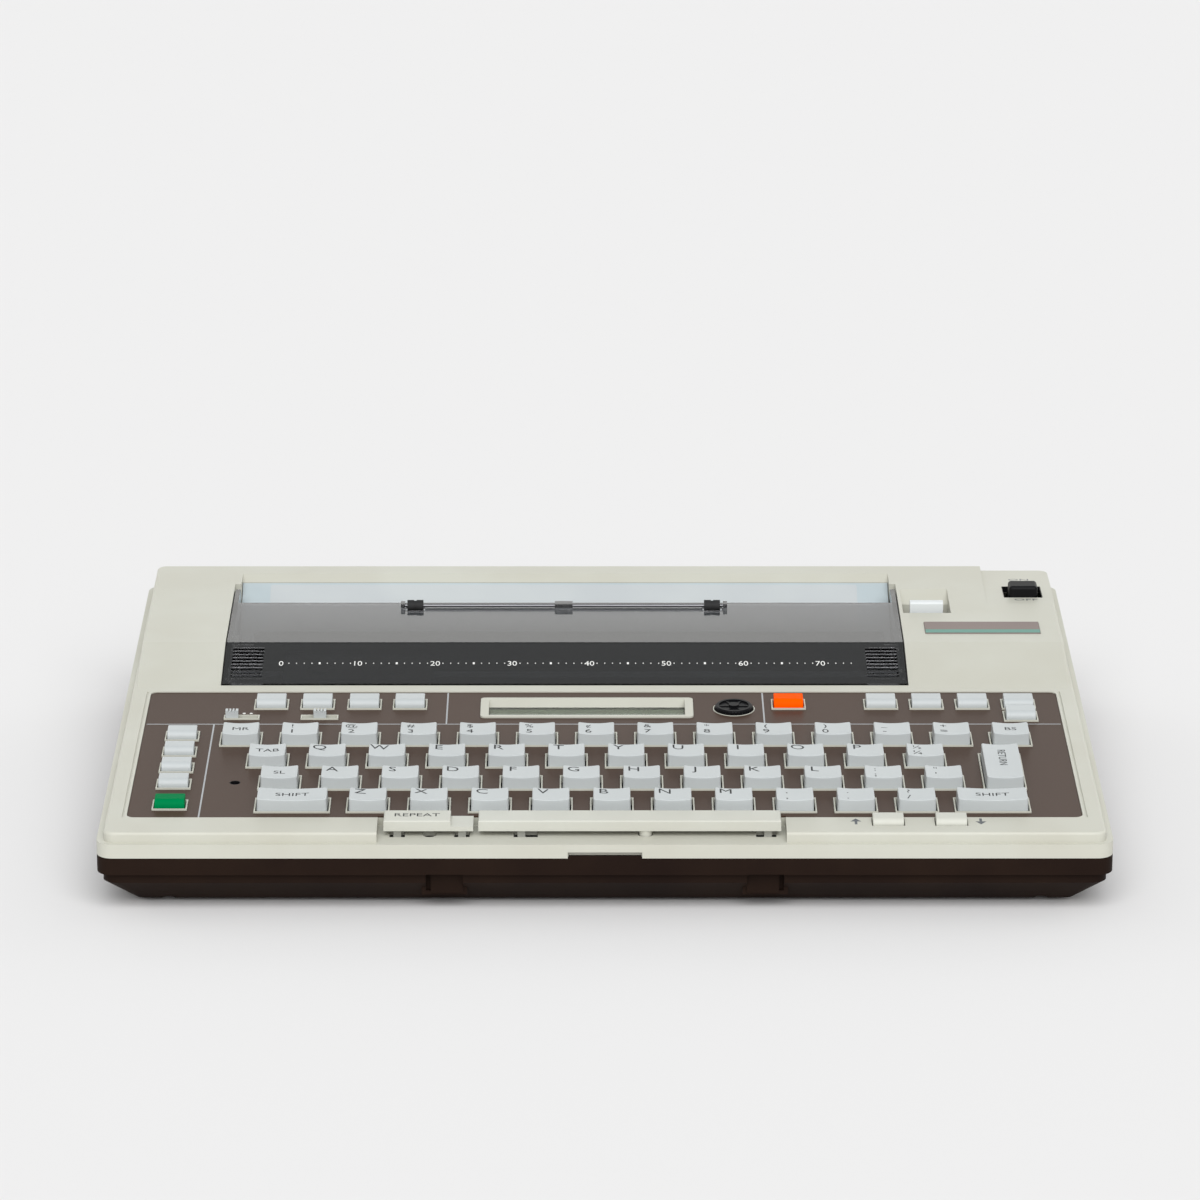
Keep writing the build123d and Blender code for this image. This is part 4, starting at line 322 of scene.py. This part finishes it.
# %% Give every node its finish
finishes = {
    cream_abs: ("top_cover",),
    plate_paint: ("keyboard_plate",),
    badge_paint: ("badge_plate",),
    brown_abs: ("bottom_case", "battery_door"),
    bar_abs: ("space_bar", "repeat_key", "paper_up_key", "paper_down_key"),
    lever_abs: ("release_lever",),
    orange_abs: ("clear_key",),
    green_abs: ("code_key",),
    black_abs: ("power_knob", "contrast_dial", "carriage", "ribbon_cassette", "power_jack", "display_module"),
    grey_abs: ("power_switch",),
    guide_abs: ("paper_guide",),
    smoked_acrylic: ("print_cover",),
    display_pane: ("display_window",),
    lamp_lens: ("indicator_lamp",),
    bright_steel: ("case_screws", "platen_shaft", "motor_pinion", "guide_rod", "lead_screw",
                   "battery_contacts"),
    dark_steel: ("bail_rod",),
    plated_sheet: ("printer_frame", "stepper_motors"),
    black_rubber: ("rubber_feet", "bail_rollers", "platen_roller"),
    grey_rubber: ("dome_sheet",),
    green_board: ("keyboard_board", "main_board"),
}
finish_of = {name: material for material, names in finishes.items() for name in names}


def dress(thing, material):
    """Put one material on all of an object's slots."""
    thing.data.materials.clear()
    thing.data.materials.append(material)


for name, thing in nodes.items():
    dress(thing, finish_of.get(name, key_abs))
key_nodes = sorted(set(nodes) - set(finish_of))
print(len(finish_of), "nodes from the table,", len(key_nodes), "keys and knobs in key plastic")

# %% [markdown]
# Printed marks have a real, if tiny, thickness: ink stands about 0.02 mm proud. An image could carry them,
# but it blurs close up. So every mark here is a closed sliver of mesh laid on its surface, sharp at any
# distance. One helper raises an outline to such a sliver, and another gathers many of them in one mesh, so
# that the legends of a row of keys, or a whole scale, are one piece.

# %% Helpers that make printed marks
INK = 0.02


def piece(name, body, material, slot, verts, faces):
    """Mesh object from world points, riding on a body, with a material."""
    mesh = bpy.data.meshes.new(name)
    mesh.from_pydata([tuple(point) for point in verts], [], faces)
    mesh.validate()
    mesh.update()
    thing = bpy.data.objects.new(name, mesh)
    bpy.context.scene.collection.objects.link(thing)
    dress(thing, material)
    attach(thing, body)
    return thing


def raised(outline, place, low, high):
    """Points and faces of a flat outline of (a, b) pairs, raised from low to high by place(a, b, w)."""
    count = len(outline)
    verts = [place(a, b, low) for a, b in outline] + [place(a, b, high) for a, b in outline]
    faces = [tuple(range(count))[::-1], tuple(range(count, 2 * count))]
    faces += [(side, (side + 1) % count, count + (side + 1) % count, count + side) for side in range(count)]
    return verts, faces


def joined(parts):
    """One list of points and faces from several."""
    verts, faces = [], []
    for more_verts, more_faces in parts:
        faces += [tuple(index + len(verts) for index in face) for face in more_faces]
        verts += more_verts
    return verts, faces


def rounded(low_x, high_x, low_u, high_u, radius, steps=5):
    """Outline of a rectangle with round corners."""
    corners = ((high_x - radius, high_u - radius, 0), (low_x + radius, high_u - radius, 1),
               (low_x + radius, low_u + radius, 2), (high_x - radius, low_u + radius, 3))
    turns = [(x, u, (quarter + step / steps) * math.pi / 2)
             for x, u, quarter in corners for step in range(steps + 1)]
    return [(x + radius * math.cos(turn), u + radius * math.sin(turn)) for x, u, turn in turns]


print("an outline of", len(rounded(0, 2, 0, 1, 0.3)), "points makes a closed sliver")

# %% [markdown]
# The silver rules on the brown plate divide its fields. They are 0.5 mm wide and screen-printed in silver
# ink, a dull grey with a fine grain. One rule crosses the whole plate and three stand square to it. A pattern
# in the paint could draw them, but four slivers have their real width and a place that can be measured.

# %% Silver rules
silver_ink = moulded("silver_ink", "#A9ADB0", "#9FA3A6", grain=0.15, depth=0.001, roughness=0.4, shine=0.5)
PLATE_TOP = -0.3
RULE_WIDTH = 0.5
# The rule across has its two ends and its u, and each rule that goes up has its x and its two ends.
CROSS_RULE = (-148.3, 148.3, 94.3)
UP_RULES = ((-126.4, 13.2, 94.1), (-51.1, 94.5, 123.0), (52.15, 94.5, 123.0))

half_rule = RULE_WIDTH / 2
end_radius = half_rule * 0.9
rules = [rounded(*CROSS_RULE[:2], CROSS_RULE[2] - half_rule, CROSS_RULE[2] + half_rule, end_radius)]
rules += [rounded(x - half_rule, x + half_rule, low, high, end_radius) for x, low, high in UP_RULES]
rule_parts = [raised(rule, on_deck, PLATE_TOP, PLATE_TOP + INK) for rule in rules]
piece("silver_rules", "case", silver_ink, "plate_aluminium", *joined(rule_parts))
print(len(rules), "silver rules")

# %% [markdown]
# Key legends are generic: letters, digits and the usual words of any keyboard, in black ink. Blender turns
# text into a flat mesh. That mesh could be wrapped on the key with a modifier, but its points can be placed
# exactly, because the shape of the key top is known. So the next cell makes each letter once, 1 mm tall.

# %% Letters as thin meshes
ink_black = moulded("ink_black", "#17191B", "#1D1F22", grain=0.08, depth=0.001, roughness=0.5, shine=0.2)
CAPITAL_SHARE = 0.73
glyphs = {}


def glyph(text, stretch=1.0):
    """Points and faces of a word with capitals 1 mm tall, centred across and standing on y = 0."""
    if (text, stretch) not in glyphs:
        curve = bpy.data.curves.new("word", "FONT")
        curve.body = text
        curve.size = 1 / CAPITAL_SHARE
        curve.resolution_u = 3
        source = bpy.data.objects.new("word", curve)
        mesh = bpy.data.meshes.new_from_object(source)
        points = [(vertex.co.x * stretch, vertex.co.y) for vertex in mesh.vertices]
        faces = [tuple(face.vertices) for face in mesh.polygons]
        middle = (max(a for a, _ in points) + min(a for a, _ in points)) / 2
        glyphs[text, stretch] = [(a - middle, b) for a, b in points], faces
        bpy.data.objects.remove(source)
        bpy.data.curves.remove(curve)
        bpy.data.meshes.remove(mesh)
    return glyphs[text, stretch]


def word(text, place, height, stretch=1.0, turned=False):
    """Points and faces of a printed word with capitals of a height in mm, laid by place(a, b, w)."""
    points, faces = glyph(text, stretch)
    laid = [(b * height, -a * height) if turned else (a * height, b * height) for a, b in points]
    count = len(points)
    verts = [place(a, b, 0.0) for a, b in laid] + [place(a, b, INK) for a, b in laid]
    # A dictionary keeps the sides in their order, so that the mesh is the same on each run.
    sides = {side: True for face in faces for side in zip(face, face[1:] + face[:1])}
    rims = [(start, end) for start, end in sides if (end, start) not in sides]
    closed = [face[::-1] for face in faces] + [tuple(index + count for index in face) for face in faces]
    closed += [(start, end, end + count, start + count) for start, end in rims]
    return verts, closed


print("letter A has", len(glyph("A")[0]), "points")

# %% [markdown]
# A letter or a mark stands on the left of its key top, and a short word stands in the middle. The tops are
# dished, so each point is laid on the curve of the dish. A dish of width b that sinks by d at its middle has
# a radius of about b squared over 8 d. Each row of keys has one mesh of legends, which moves with the row.

# %% Print the key legends
KEY_PITCH = 19.05
FIRST_KEY = (-116.84, 80.0)
ROW_SHIFTS = (0.0, 0.5, 0.75, 2.25)
KEY_WIDTH = 12.0
KEY_TOP = 4.2
DISH_DEPTH = 0.55
# Each place is across and along from the middle of the key, with the height of the capitals.
LETTER = (-2.5, 0.5, 3.9)
UPPER_MARK = (-2.5, 0.9, 2.8)
LOWER_MARK = (-2.5, -3.8, 3.2)
NAME = (0.0, -1.4, 2.6)
MARK_STRETCH = 1.1
NAME_STRETCH = 1.15
# One mark is a letter, two are an upper and a lower mark, and three are a name: its full stop isn't printed.
LEGENDS = {
    "keys_number_row": ["MR.", "!1", "@2", "#3", "$4", "%5", "¢6", "&7", "*8", "(9", ")0", "_-", "+=",
                        "BS."],
    "keys_upper_row": ["TAB", *"QWERTYUIOP", "½¼"],
    "keys_home_row": ["SL.", *"ASDFGHJKL", ":;", "\"'"],
    "keys_lower_row": [*"ZXCVBNM", ",,", "..", "?/"],
}


def on_dish(x, u, width):
    """Function that lays a point beside a key's middle on its dished top."""
    radius = width ** 2 / (8 * DISH_DEPTH)

    def place(a, b, w):
        sunk = KEY_TOP - DISH_DEPTH + radius - math.sqrt(radius ** 2 - a ** 2)
        return on_deck(x + a, u + b, sunk + w)
    return place


def shifted(place, across, along):
    """Place function moved by a distance across and along."""
    return lambda a, b, w: place(a + across, b + along, w)


for row, (row_name, legends) in enumerate(LEGENDS.items()):
    parts = []
    for column, legend in enumerate(legends):
        x = FIRST_KEY[0] + (ROW_SHIFTS[row] + column) * KEY_PITCH
        top = on_dish(x, FIRST_KEY[1] - row * KEY_PITCH, KEY_WIDTH)
        if len(legend) == 1:
            parts.append(word(legend, shifted(top, *LETTER[:2]), LETTER[2], MARK_STRETCH))
        elif len(legend) == 2:
            parts += [word(mark, shifted(top, *spot[:2]), spot[2], MARK_STRETCH)
                      for mark, spot in zip(legend, (UPPER_MARK, LOWER_MARK))]
        else:
            parts.append(word(legend.strip("."), shifted(top, *NAME[:2]), NAME[2], NAME_STRETCH))
    piece(row_name + "_legends", row_name, ink_black, "black_plastic", *joined(parts))
    print(row_name, "carries", len(parts), "marks")

# %% [markdown]
# The two shift keys flank the lowest row, and their wider dish is flatter, so the same function lays their
# word with another width. The return key spans two rows, and its word is turned to run down it. The repeat
# key is a flat bar, and a function that is level takes the place of the dish.

# %% Legends of the wide keys
SHIFT_SIDE = KEY_PITCH * 1.24
SHIFT_WIDTH = 22.2
WIDE_STRETCH = 1.2
lower_u = FIRST_KEY[1] - 3 * KEY_PITCH
first_lower = FIRST_KEY[0] + ROW_SHIFTS[3] * KEY_PITCH
last_lower = first_lower + (len(LEGENDS["keys_lower_row"]) - 1) * KEY_PITCH
for key_name, x in (("shift_key_left", first_lower - SHIFT_SIDE),
                    ("shift_key_right", last_lower + SHIFT_SIDE)):
    shift_top = shifted(on_dish(x, lower_u, SHIFT_WIDTH), *NAME[:2])
    piece(key_name + "_legend", key_name, ink_black, "black_plastic",
          *word("SHIFT", shift_top, NAME[2], WIDE_STRETCH))

# The middle of the return key lies half a row below the upper row of letters.
RETURN_COLUMN = 12.01
RETURN_SHIFT = (-1.0, 3.0)
return_at = (FIRST_KEY[0] + (ROW_SHIFTS[2] + RETURN_COLUMN) * KEY_PITCH, FIRST_KEY[1] - 1.5 * KEY_PITCH)
return_top = shifted(on_dish(*return_at, KEY_WIDTH), *RETURN_SHIFT)
piece("return_key_legend", "return_key", ink_black, "black_plastic",
      *word("RETURN", return_top, NAME[2], turned=True))

REPEAT_AT = (-58.2, 8.6)
REPEAT_TOP = 2.0
repeat_top = shifted(lambda a, b, w: on_deck(a, b, REPEAT_TOP + w), *REPEAT_AT)
piece("repeat_key_legend", "repeat_key", ink_black, "black_plastic",
      *word("REPEAT", repeat_top, NAME[2], WIDE_STRETCH))
print("wide keys are printed")

# %% [markdown]
# The smoked cover carries the printer's scale in white ink on its sloping face: a dot for each character, a
# larger one at every fifth, and plain numbers at the tens. The dots are 2.56 mm apart. Ten characters to the
# inch would be 2.54 mm, so the scale confirms the size of the model. The face slopes from its front edge to
# the crease, so the height of a mark is worked out along it. A loop counts the characters, because a real
# scale is printed from such a rule too, and a dot is twice as long along the deck as it is wide.

# %% The scale on the print cover
ink_white = moulded("ink_white", "#F1F1EE", "#E9E9E5", grain=0.08, depth=0.001, roughness=0.5)
CHARACTER = 2.5586
SCALE_X = -107.0
SCALE_U = 142.6
SCALE_END = 74
DOT_SIZES = (0.34, 0.16)
NUMBER_HEIGHT = 3.2
NUMBER_STRETCH = 0.78
FACE_FOOT = (128.9, 0.772)
FACE_CREASE = (157.0, 5.0)


def on_face(a, b, w):
    """Point on the cover's sloping face: b is measured along the deck."""
    run = (b - FACE_FOOT[0]) / (FACE_CREASE[0] - FACE_FOOT[0])
    return on_deck(a, b, FACE_FOOT[1] + run * (FACE_CREASE[1] - FACE_FOOT[1]) + w)


scale_parts = []
for count in range(1, SCALE_END + 1):
    if count % 10 == 0:
        continue
    size = DOT_SIZES[0] if count % 5 == 0 else DOT_SIZES[1]
    middle = SCALE_X + count * CHARACTER
    dot = rounded(middle - size, middle + size, SCALE_U - 2 * size, SCALE_U + 2 * size, size * 0.6, 3)
    scale_parts.append(raised(dot, on_face, 0.0, INK))
for ten in range(0, SCALE_END, 10):
    middle = SCALE_X + ten * CHARACTER
    number_at = shifted(on_face, middle, SCALE_U - NUMBER_HEIGHT / 2)
    scale_parts.append(word(str(ten), number_at, NUMBER_HEIGHT, NUMBER_STRETCH))
piece("cover_scale", "print_cover", ink_white, "key_plastic", *joined(scale_parts))
print(len(scale_parts), "marks on the scale, about an inch to ten characters")

# %% [markdown]
# A pale paper label lies on the guide behind the cover. It is 0.1 mm thick and follows the chute, which
# slopes down to the platen at 26.5 degrees from just below the rear lip. Paper is dull and finely grained, so
# the recipe for moulded plastic draws it, and a sliver like the ink marks, but thicker, gives its edge.

# %% The label on the paper guide
CHUTE_TOP = (222.4, 3.0)
CHUTE_SLOPE = math.tan(math.radians(26.5))
LABEL_X = (-114.4, 87.7)
LABEL_U = (200.0, 221.2)
LABEL_CORNER = 0.8
LABEL_LEVELS = (0.02, 0.12)
label_paper = moulded("label_paper", "#C0C5C6", "#BBC0C2", grain=0.3, depth=0.004, roughness=0.55)


def on_chute(a, b, w):
    """Point on the sloping chute of the paper guide."""
    return on_deck(a, b, CHUTE_TOP[1] - (CHUTE_TOP[0] - b) * CHUTE_SLOPE + w)


label = rounded(*LABEL_X, *LABEL_U, LABEL_CORNER)
piece("guide_label", "case", label_paper, "key_plastic", *raised(label, on_chute, *LABEL_LEVELS))
print("label", round(LABEL_X[1] - LABEL_X[0]), "by", round(LABEL_U[1] - LABEL_U[0]), "mm")

# %% [markdown]
# The small plate on the right of the housing is painted mauve-brown, with a teal stripe along its front edge.
# The stripe could be a second slot of the plate, but its edge would need a cut in the model's mesh, which
# stays as it is. So it is a sliver of its own on the plate.

# %% Teal stripe
BADGE_X = (108.4, 146.9)
BADGE_U = (165.8, 168.9)
BADGE_TOP = 5.2
BADGE_CORNER = 0.15
stripe = rounded(*BADGE_X, *BADGE_U, BADGE_CORNER, 2)
piece("badge_stripe", "case", teal_paint, "plate_aluminium",
      *raised(stripe, on_deck, BADGE_TOP, BADGE_TOP + INK))
print("stripe", round(BADGE_U[1] - BADGE_U[0], 1), "mm wide")

# %% [markdown]
# A few generic marks remain: ON and OFF at the power switch, two dots beside the left slide switch, and an
# arrow beside each paper-feed key, one to the back and one to the front. The power switch is on a shoulder
# that slopes down to the back, so the height of its words is worked out along the slope. The words and arrows
# have the grey of the switch, because their ink is just as dull and dark.

# %% Marks on plate and deck
SHOULDER_START = (196.0, 4.8)
SHOULDER_SLOPE = 1.9 / 39.2
POWER_HEIGHT = 2.0
POWER_STRETCH = 1.7
POWER_WORDS = (("ON", 143.6, 222.7), ("OFF", 144.6, 199.2))
SWITCH_DOTS = ((-117.2, 104.1), (-114.9, 104.1))
DOT_HALF = 0.5
ARROWS = ((77.9, 9.2, 1), (116.7, 9.2, -1))
ARROW_HALF = 1.7
ARROW_LENGTH = 2.4
STEM_HALF = 0.4
STEM_CORNER = 0.1


def on_shoulder(a, b, w):
    """Point on the sloping right rear shoulder."""
    return on_deck(a, b, SHOULDER_START[1] - (b - SHOULDER_START[0]) * SHOULDER_SLOPE + w)


power_parts = [word(text, shifted(on_shoulder, x, u), POWER_HEIGHT, POWER_STRETCH)
               for text, x, u in POWER_WORDS]
piece("power_words", "case", grey_abs, "grey_plastic", *joined(power_parts))
dots = [rounded(x - DOT_HALF, x + DOT_HALF, u - DOT_HALF, u + DOT_HALF, DOT_HALF * 0.9, 4)
        for x, u in SWITCH_DOTS]
dot_parts = [raised(dot, on_deck, PLATE_TOP, PLATE_TOP + INK) for dot in dots]
piece("switch_dots", "case", ink_white, "key_plastic", *joined(dot_parts))
arrow_parts = []
for x, u, way in ARROWS:
    # An arrow to the front takes its points in reverse, so that its faces still look outwards.
    tip = [(x - ARROW_HALF, u), (x + ARROW_HALF, u), (x, u + ARROW_LENGTH * way)][::way]
    stem_low, stem_high = sorted((u, u - ARROW_LENGTH * way))
    stem = rounded(x - STEM_HALF, x + STEM_HALF, stem_low, stem_high, STEM_CORNER, 1)
    arrow_parts += [raised(tip, on_deck, 0.0, INK), raised(stem, on_deck, 0.0, INK)]
piece("feed_arrows", "case", grey_abs, "grey_plastic", *joined(arrow_parts))
print(len(power_parts), "words,", len(dots), "dots and", len(ARROWS), "arrows")

# %% [markdown]
# Two holes in the cream moulding are lined with black, and the linings are painted shade: the walls of the
# small lamp's hole at the left of the keys and of the power knob's slot lie in shade, so a round black lining
# and a square black frame darken them, and the pale cut edge of the moulding doesn't show. Both are short
# tubes: four rings of points, two inside and two outside, joined ring by ring. A thin cylinder with a
# solidify modifier would do for the round one, but the same function also makes the square one. Each is about
# 0.2 mm thick, and the knob has more room than that to move.

# %% Black linings that paint the shade in the lamp's hole and the power slot
LAMP_AT = (-116.7, 42.8)
LAMP_RADII = (1.72, 1.5)
LAMP_LEVELS = (-1.6, -0.32)
SLOT_X = (137.2, 150.5)
SLOT_U = (202.6, 216.0)
SLOT_SIDES = (0.02, 0.22)
SLOT_LEVELS = (-2.1, -0.12)
SLOT_CORNER = 0.3


def tube(outlines, place, low, high):
    """Points and faces of a closed band between an outer and an inner outline."""
    outer, inner = outlines
    count = len(outer)
    rings = ((inner, low), (inner, high), (outer, high), (outer, low))
    verts = [place(a, b, level) for outline, level in rings for a, b in outline]
    faces = [((ring + 1) % 4 * count + side, (ring + 1) % 4 * count + (side + 1) % count,
              ring * count + (side + 1) % count, ring * count + side)
             for ring in range(4) for side in range(count)]
    return verts, faces


def circle(x, u, radius, count=40):
    """Outline of a circle."""
    turns = [2 * math.pi * step / count for step in range(count)]
    return [(x + radius * math.cos(turn), u + radius * math.sin(turn)) for turn in turns]


lamp_rings = [circle(*LAMP_AT, radius) for radius in LAMP_RADII]
# The lamp's black lining is painted shade on the wall of its hole.
piece("lamp_shade_lining", "case", black_abs, "black_plastic", *tube(lamp_rings, on_deck, *LAMP_LEVELS))
slot_rings = [rounded(SLOT_X[0] + side, SLOT_X[1] - side, SLOT_U[0] + side, SLOT_U[1] - side, SLOT_CORNER)
              for side in SLOT_SIDES]
# The slot's black frame is painted shade on the walls of the slot.
piece("power_slot_shade_frame", "case", black_abs, "black_plastic", *tube(slot_rings, on_shoulder, *SLOT_LEVELS))
print("lamp bezel", 2 * LAMP_RADII[1], "mm inside, slot frame", SLOT_SIDES[1] - SLOT_SIDES[0], "mm thick")

# %% [markdown]
# The display is a reflective liquid-crystal pane behind a clear window. Its segments are off and can't be
# seen, so it is an even grey-green field, and the recipe for moulded plastic without any relief draws it. It
# lies on the module, under the window, as a thin sheet of its own.

# %% Liquid-crystal field
crystal = moulded("crystal", "#8FA097", "#87988F", grain=0.1, depth=0.0, roughness=0.25)
FIELD = (-37.2, 26.2, 101.6, 114.0)
FIELD_W = -3.38
FIELD_CORNER = 0.6
FIELD_THICKNESS = 0.04
field = rounded(*FIELD, FIELD_CORNER)
piece("display_field", "case", crystal, "display_glass",
      *raised(field, on_deck, FIELD_W, FIELD_W + FIELD_THICKNESS))
print("display field", FIELD[1] - FIELD[0], "by", FIELD[3] - FIELD[2], "mm")

# %% [markdown]
# Last come the stand and the light. The machine stands on a pale floor that reaches beyond the picture on
# every side. A sheet that curves up behind would also hide its far edge, but a flat floor looks even from all
# sides. It is dull, like background paper, and keeps the soft shadow that the machine casts.

# %% Floor
FLOOR_SIZE = 8.0
floor_mesh = bpy.data.meshes.new("floor")
half_floor = FLOOR_SIZE / 2
floor_corners = [(x * half_floor, y * half_floor, 0) for x, y in ((-1, -1), (1, -1), (1, 1), (-1, 1))]
floor_mesh.from_pydata(floor_corners, [], [(0, 1, 2, 3)])
floor = bpy.data.objects.new("floor", floor_mesh)
bpy.context.scene.collection.objects.link(floor)
floor_paper, floor_tree, floor_output = new_material("floor_paper")
paper = node(floor_tree, "ShaderNodeBsdfDiffuse", {"Color": linear("#E7E6E6")})
floor_tree.links.new(paper.outputs["BSDF"], floor_output.inputs["Surface"])
dress(floor, floor_paper)
print("floor", FLOOR_SIZE, "m across")

# %% [markdown]
# The light of the studio is drawn by direction. A pale wall behind the table, low down, is what the smoked
# top mirrors. Above that wall the room is darker, and the sloping face of the cover mirrors that, so that it
# looks nearly black. A picture of a room could be wrapped round the scene instead, but with a few nodes each
# glow can be set by itself.

# %% Studio
WALL_GLOW = 1.42
ROOM_GLOW = 0.5
SKY_GLOW = 0.36
# Each edge is a pair of sines: the glow fades between the two, upwards for the tops, backwards for the last.
WALL_TOP = (math.sin(math.radians(28)), math.sin(math.radians(34)))
ROOM_TOP = (math.sin(math.radians(58)), math.sin(math.radians(72)))
BEHIND = (0.15, 0.45)
LOW_TINT, HIGH_TINT = "#FFFDF8", "#F6FBFF"
TINT_HEIGHTS = (0.2, 0.9)

world = bpy.data.worlds.new("studio")
bpy.context.scene.world = world
world.use_nodes = True
sky_tree = world.node_tree
sky_tree.nodes.clear()
way = node(sky_tree, "ShaderNodeTexCoord").outputs["Generated"]
axes = node(sky_tree, "ShaderNodeSeparateXYZ", {"Vector": way})
up, back = axes.outputs["Z"], axes.outputs["Y"]
over_wall = node(sky_tree, "ShaderNodeMapRange", {
    "Value": up, "From Min": WALL_TOP[0], "From Max": WALL_TOP[1], "To Min": WALL_GLOW, "To Max": ROOM_GLOW})
over_room = node(sky_tree, "ShaderNodeMapRange", {
    "Value": up, "From Min": ROOM_TOP[0], "From Max": ROOM_TOP[1],
    "To Min": 0.0, "To Max": SKY_GLOW - ROOM_GLOW})
rear = node(sky_tree, "ShaderNodeMath", {
    0: over_wall.outputs["Result"], 1: over_room.outputs["Result"]}, operation="ADD")
facing = node(sky_tree, "ShaderNodeMapRange", {"Value": back, "From Min": BEHIND[0], "From Max": BEHIND[1]})
glow = node(sky_tree, "ShaderNodeMix", {
    "Factor": facing.outputs["Result"], "A": SKY_GLOW, "B": rear.outputs["Value"]}, data_type="FLOAT")
height = node(sky_tree, "ShaderNodeMapRange", {
    "Value": up, "From Min": TINT_HEIGHTS[0], "From Max": TINT_HEIGHTS[1]})
tint = node(sky_tree, "ShaderNodeMix", {
    "Factor": height.outputs["Result"], "A": linear(LOW_TINT), "B": linear(HIGH_TINT)}, data_type="RGBA")
sky = node(sky_tree, "ShaderNodeBackground", {
    "Color": tint.outputs["Result"], "Strength": glow.outputs["Result"]})
node(sky_tree, "ShaderNodeOutputWorld", {"Surface": sky.outputs["Background"]})
print("glow of wall, room and sky:", WALL_GLOW, ROOM_GLOW, SKY_GLOW)

# %% [markdown]
# One lamp in front and above lights the fronts of the keys nearly as brightly as their tops. A real studio
# has a cloth box for it. Here a sun lamp with a very wide angle gives the same soft shadow, and as its light
# is equally strong everywhere, it needs no distance. The print shows about how bright it alone makes a white
# floor.

# %% The soft lamp
LAMP_STRENGTH = 2.9
LAMP_SOFTNESS = math.radians(60)
LAMP_TURN = (math.radians(48), 0.0, math.radians(4))
lamp_data = bpy.data.lights.new("soft_lamp", "SUN")
lamp_data.energy = LAMP_STRENGTH
lamp_data.angle = LAMP_SOFTNESS
lamp = bpy.data.objects.new("soft_lamp", lamp_data)
lamp.rotation_euler = LAMP_TURN
bpy.context.scene.collection.objects.link(lamp)
print("lamp on a white floor:", round(LAMP_STRENGTH * math.cos(LAMP_TURN[0]) / math.pi, 2))

# %% [markdown]
# The camera is a long lens about 1.7 metres away that looks down at 15.7 degrees. Its place was fitted to the
# grid of keys, so it is written in the frame of the deck, in millimetres, and turned with the deck. Aiming it
# at a point would be shorter, but the three angles keep the slight turn and roll that the fit found.

# %% Camera
CAMERA_AT = (-7.25, -1635.17, 663.26)
CAMERA_PITCH = math.radians(19.745)
CAMERA_YAW = math.radians(-0.197)
CAMERA_ROLL = math.radians(-0.062)
FOCAL_PIXELS = 5709.35
IMAGE_PIXELS = 1200
SENSOR = 36.0
VIEW_DEPTH = 20.0
camera_data = bpy.data.cameras.new("camera")
camera_data.sensor_width = SENSOR
camera_data.sensor_fit = "HORIZONTAL"
camera_data.lens = FOCAL_PIXELS / IMAGE_PIXELS * SENSOR
camera_data.clip_end = VIEW_DEPTH
camera = bpy.data.objects.new("camera", camera_data)
turn = Matrix.Rotation(CAMERA_YAW, 4, "Z") @ Matrix.Rotation(math.pi / 2 - CAMERA_PITCH, 4, "X")
turn = turn @ Matrix.Rotation(-CAMERA_ROLL, 4, "Z")
camera.matrix_world = Matrix.Translation(on_deck(*CAMERA_AT)) @ Matrix.Rotation(DECK_TILT, 4, "X") @ turn
bpy.context.scene.collection.objects.link(camera)
bpy.context.scene.camera = camera
bpy.context.scene.view_settings.view_transform = "Standard"
print("lens", round(camera_data.lens, 1), "mm")
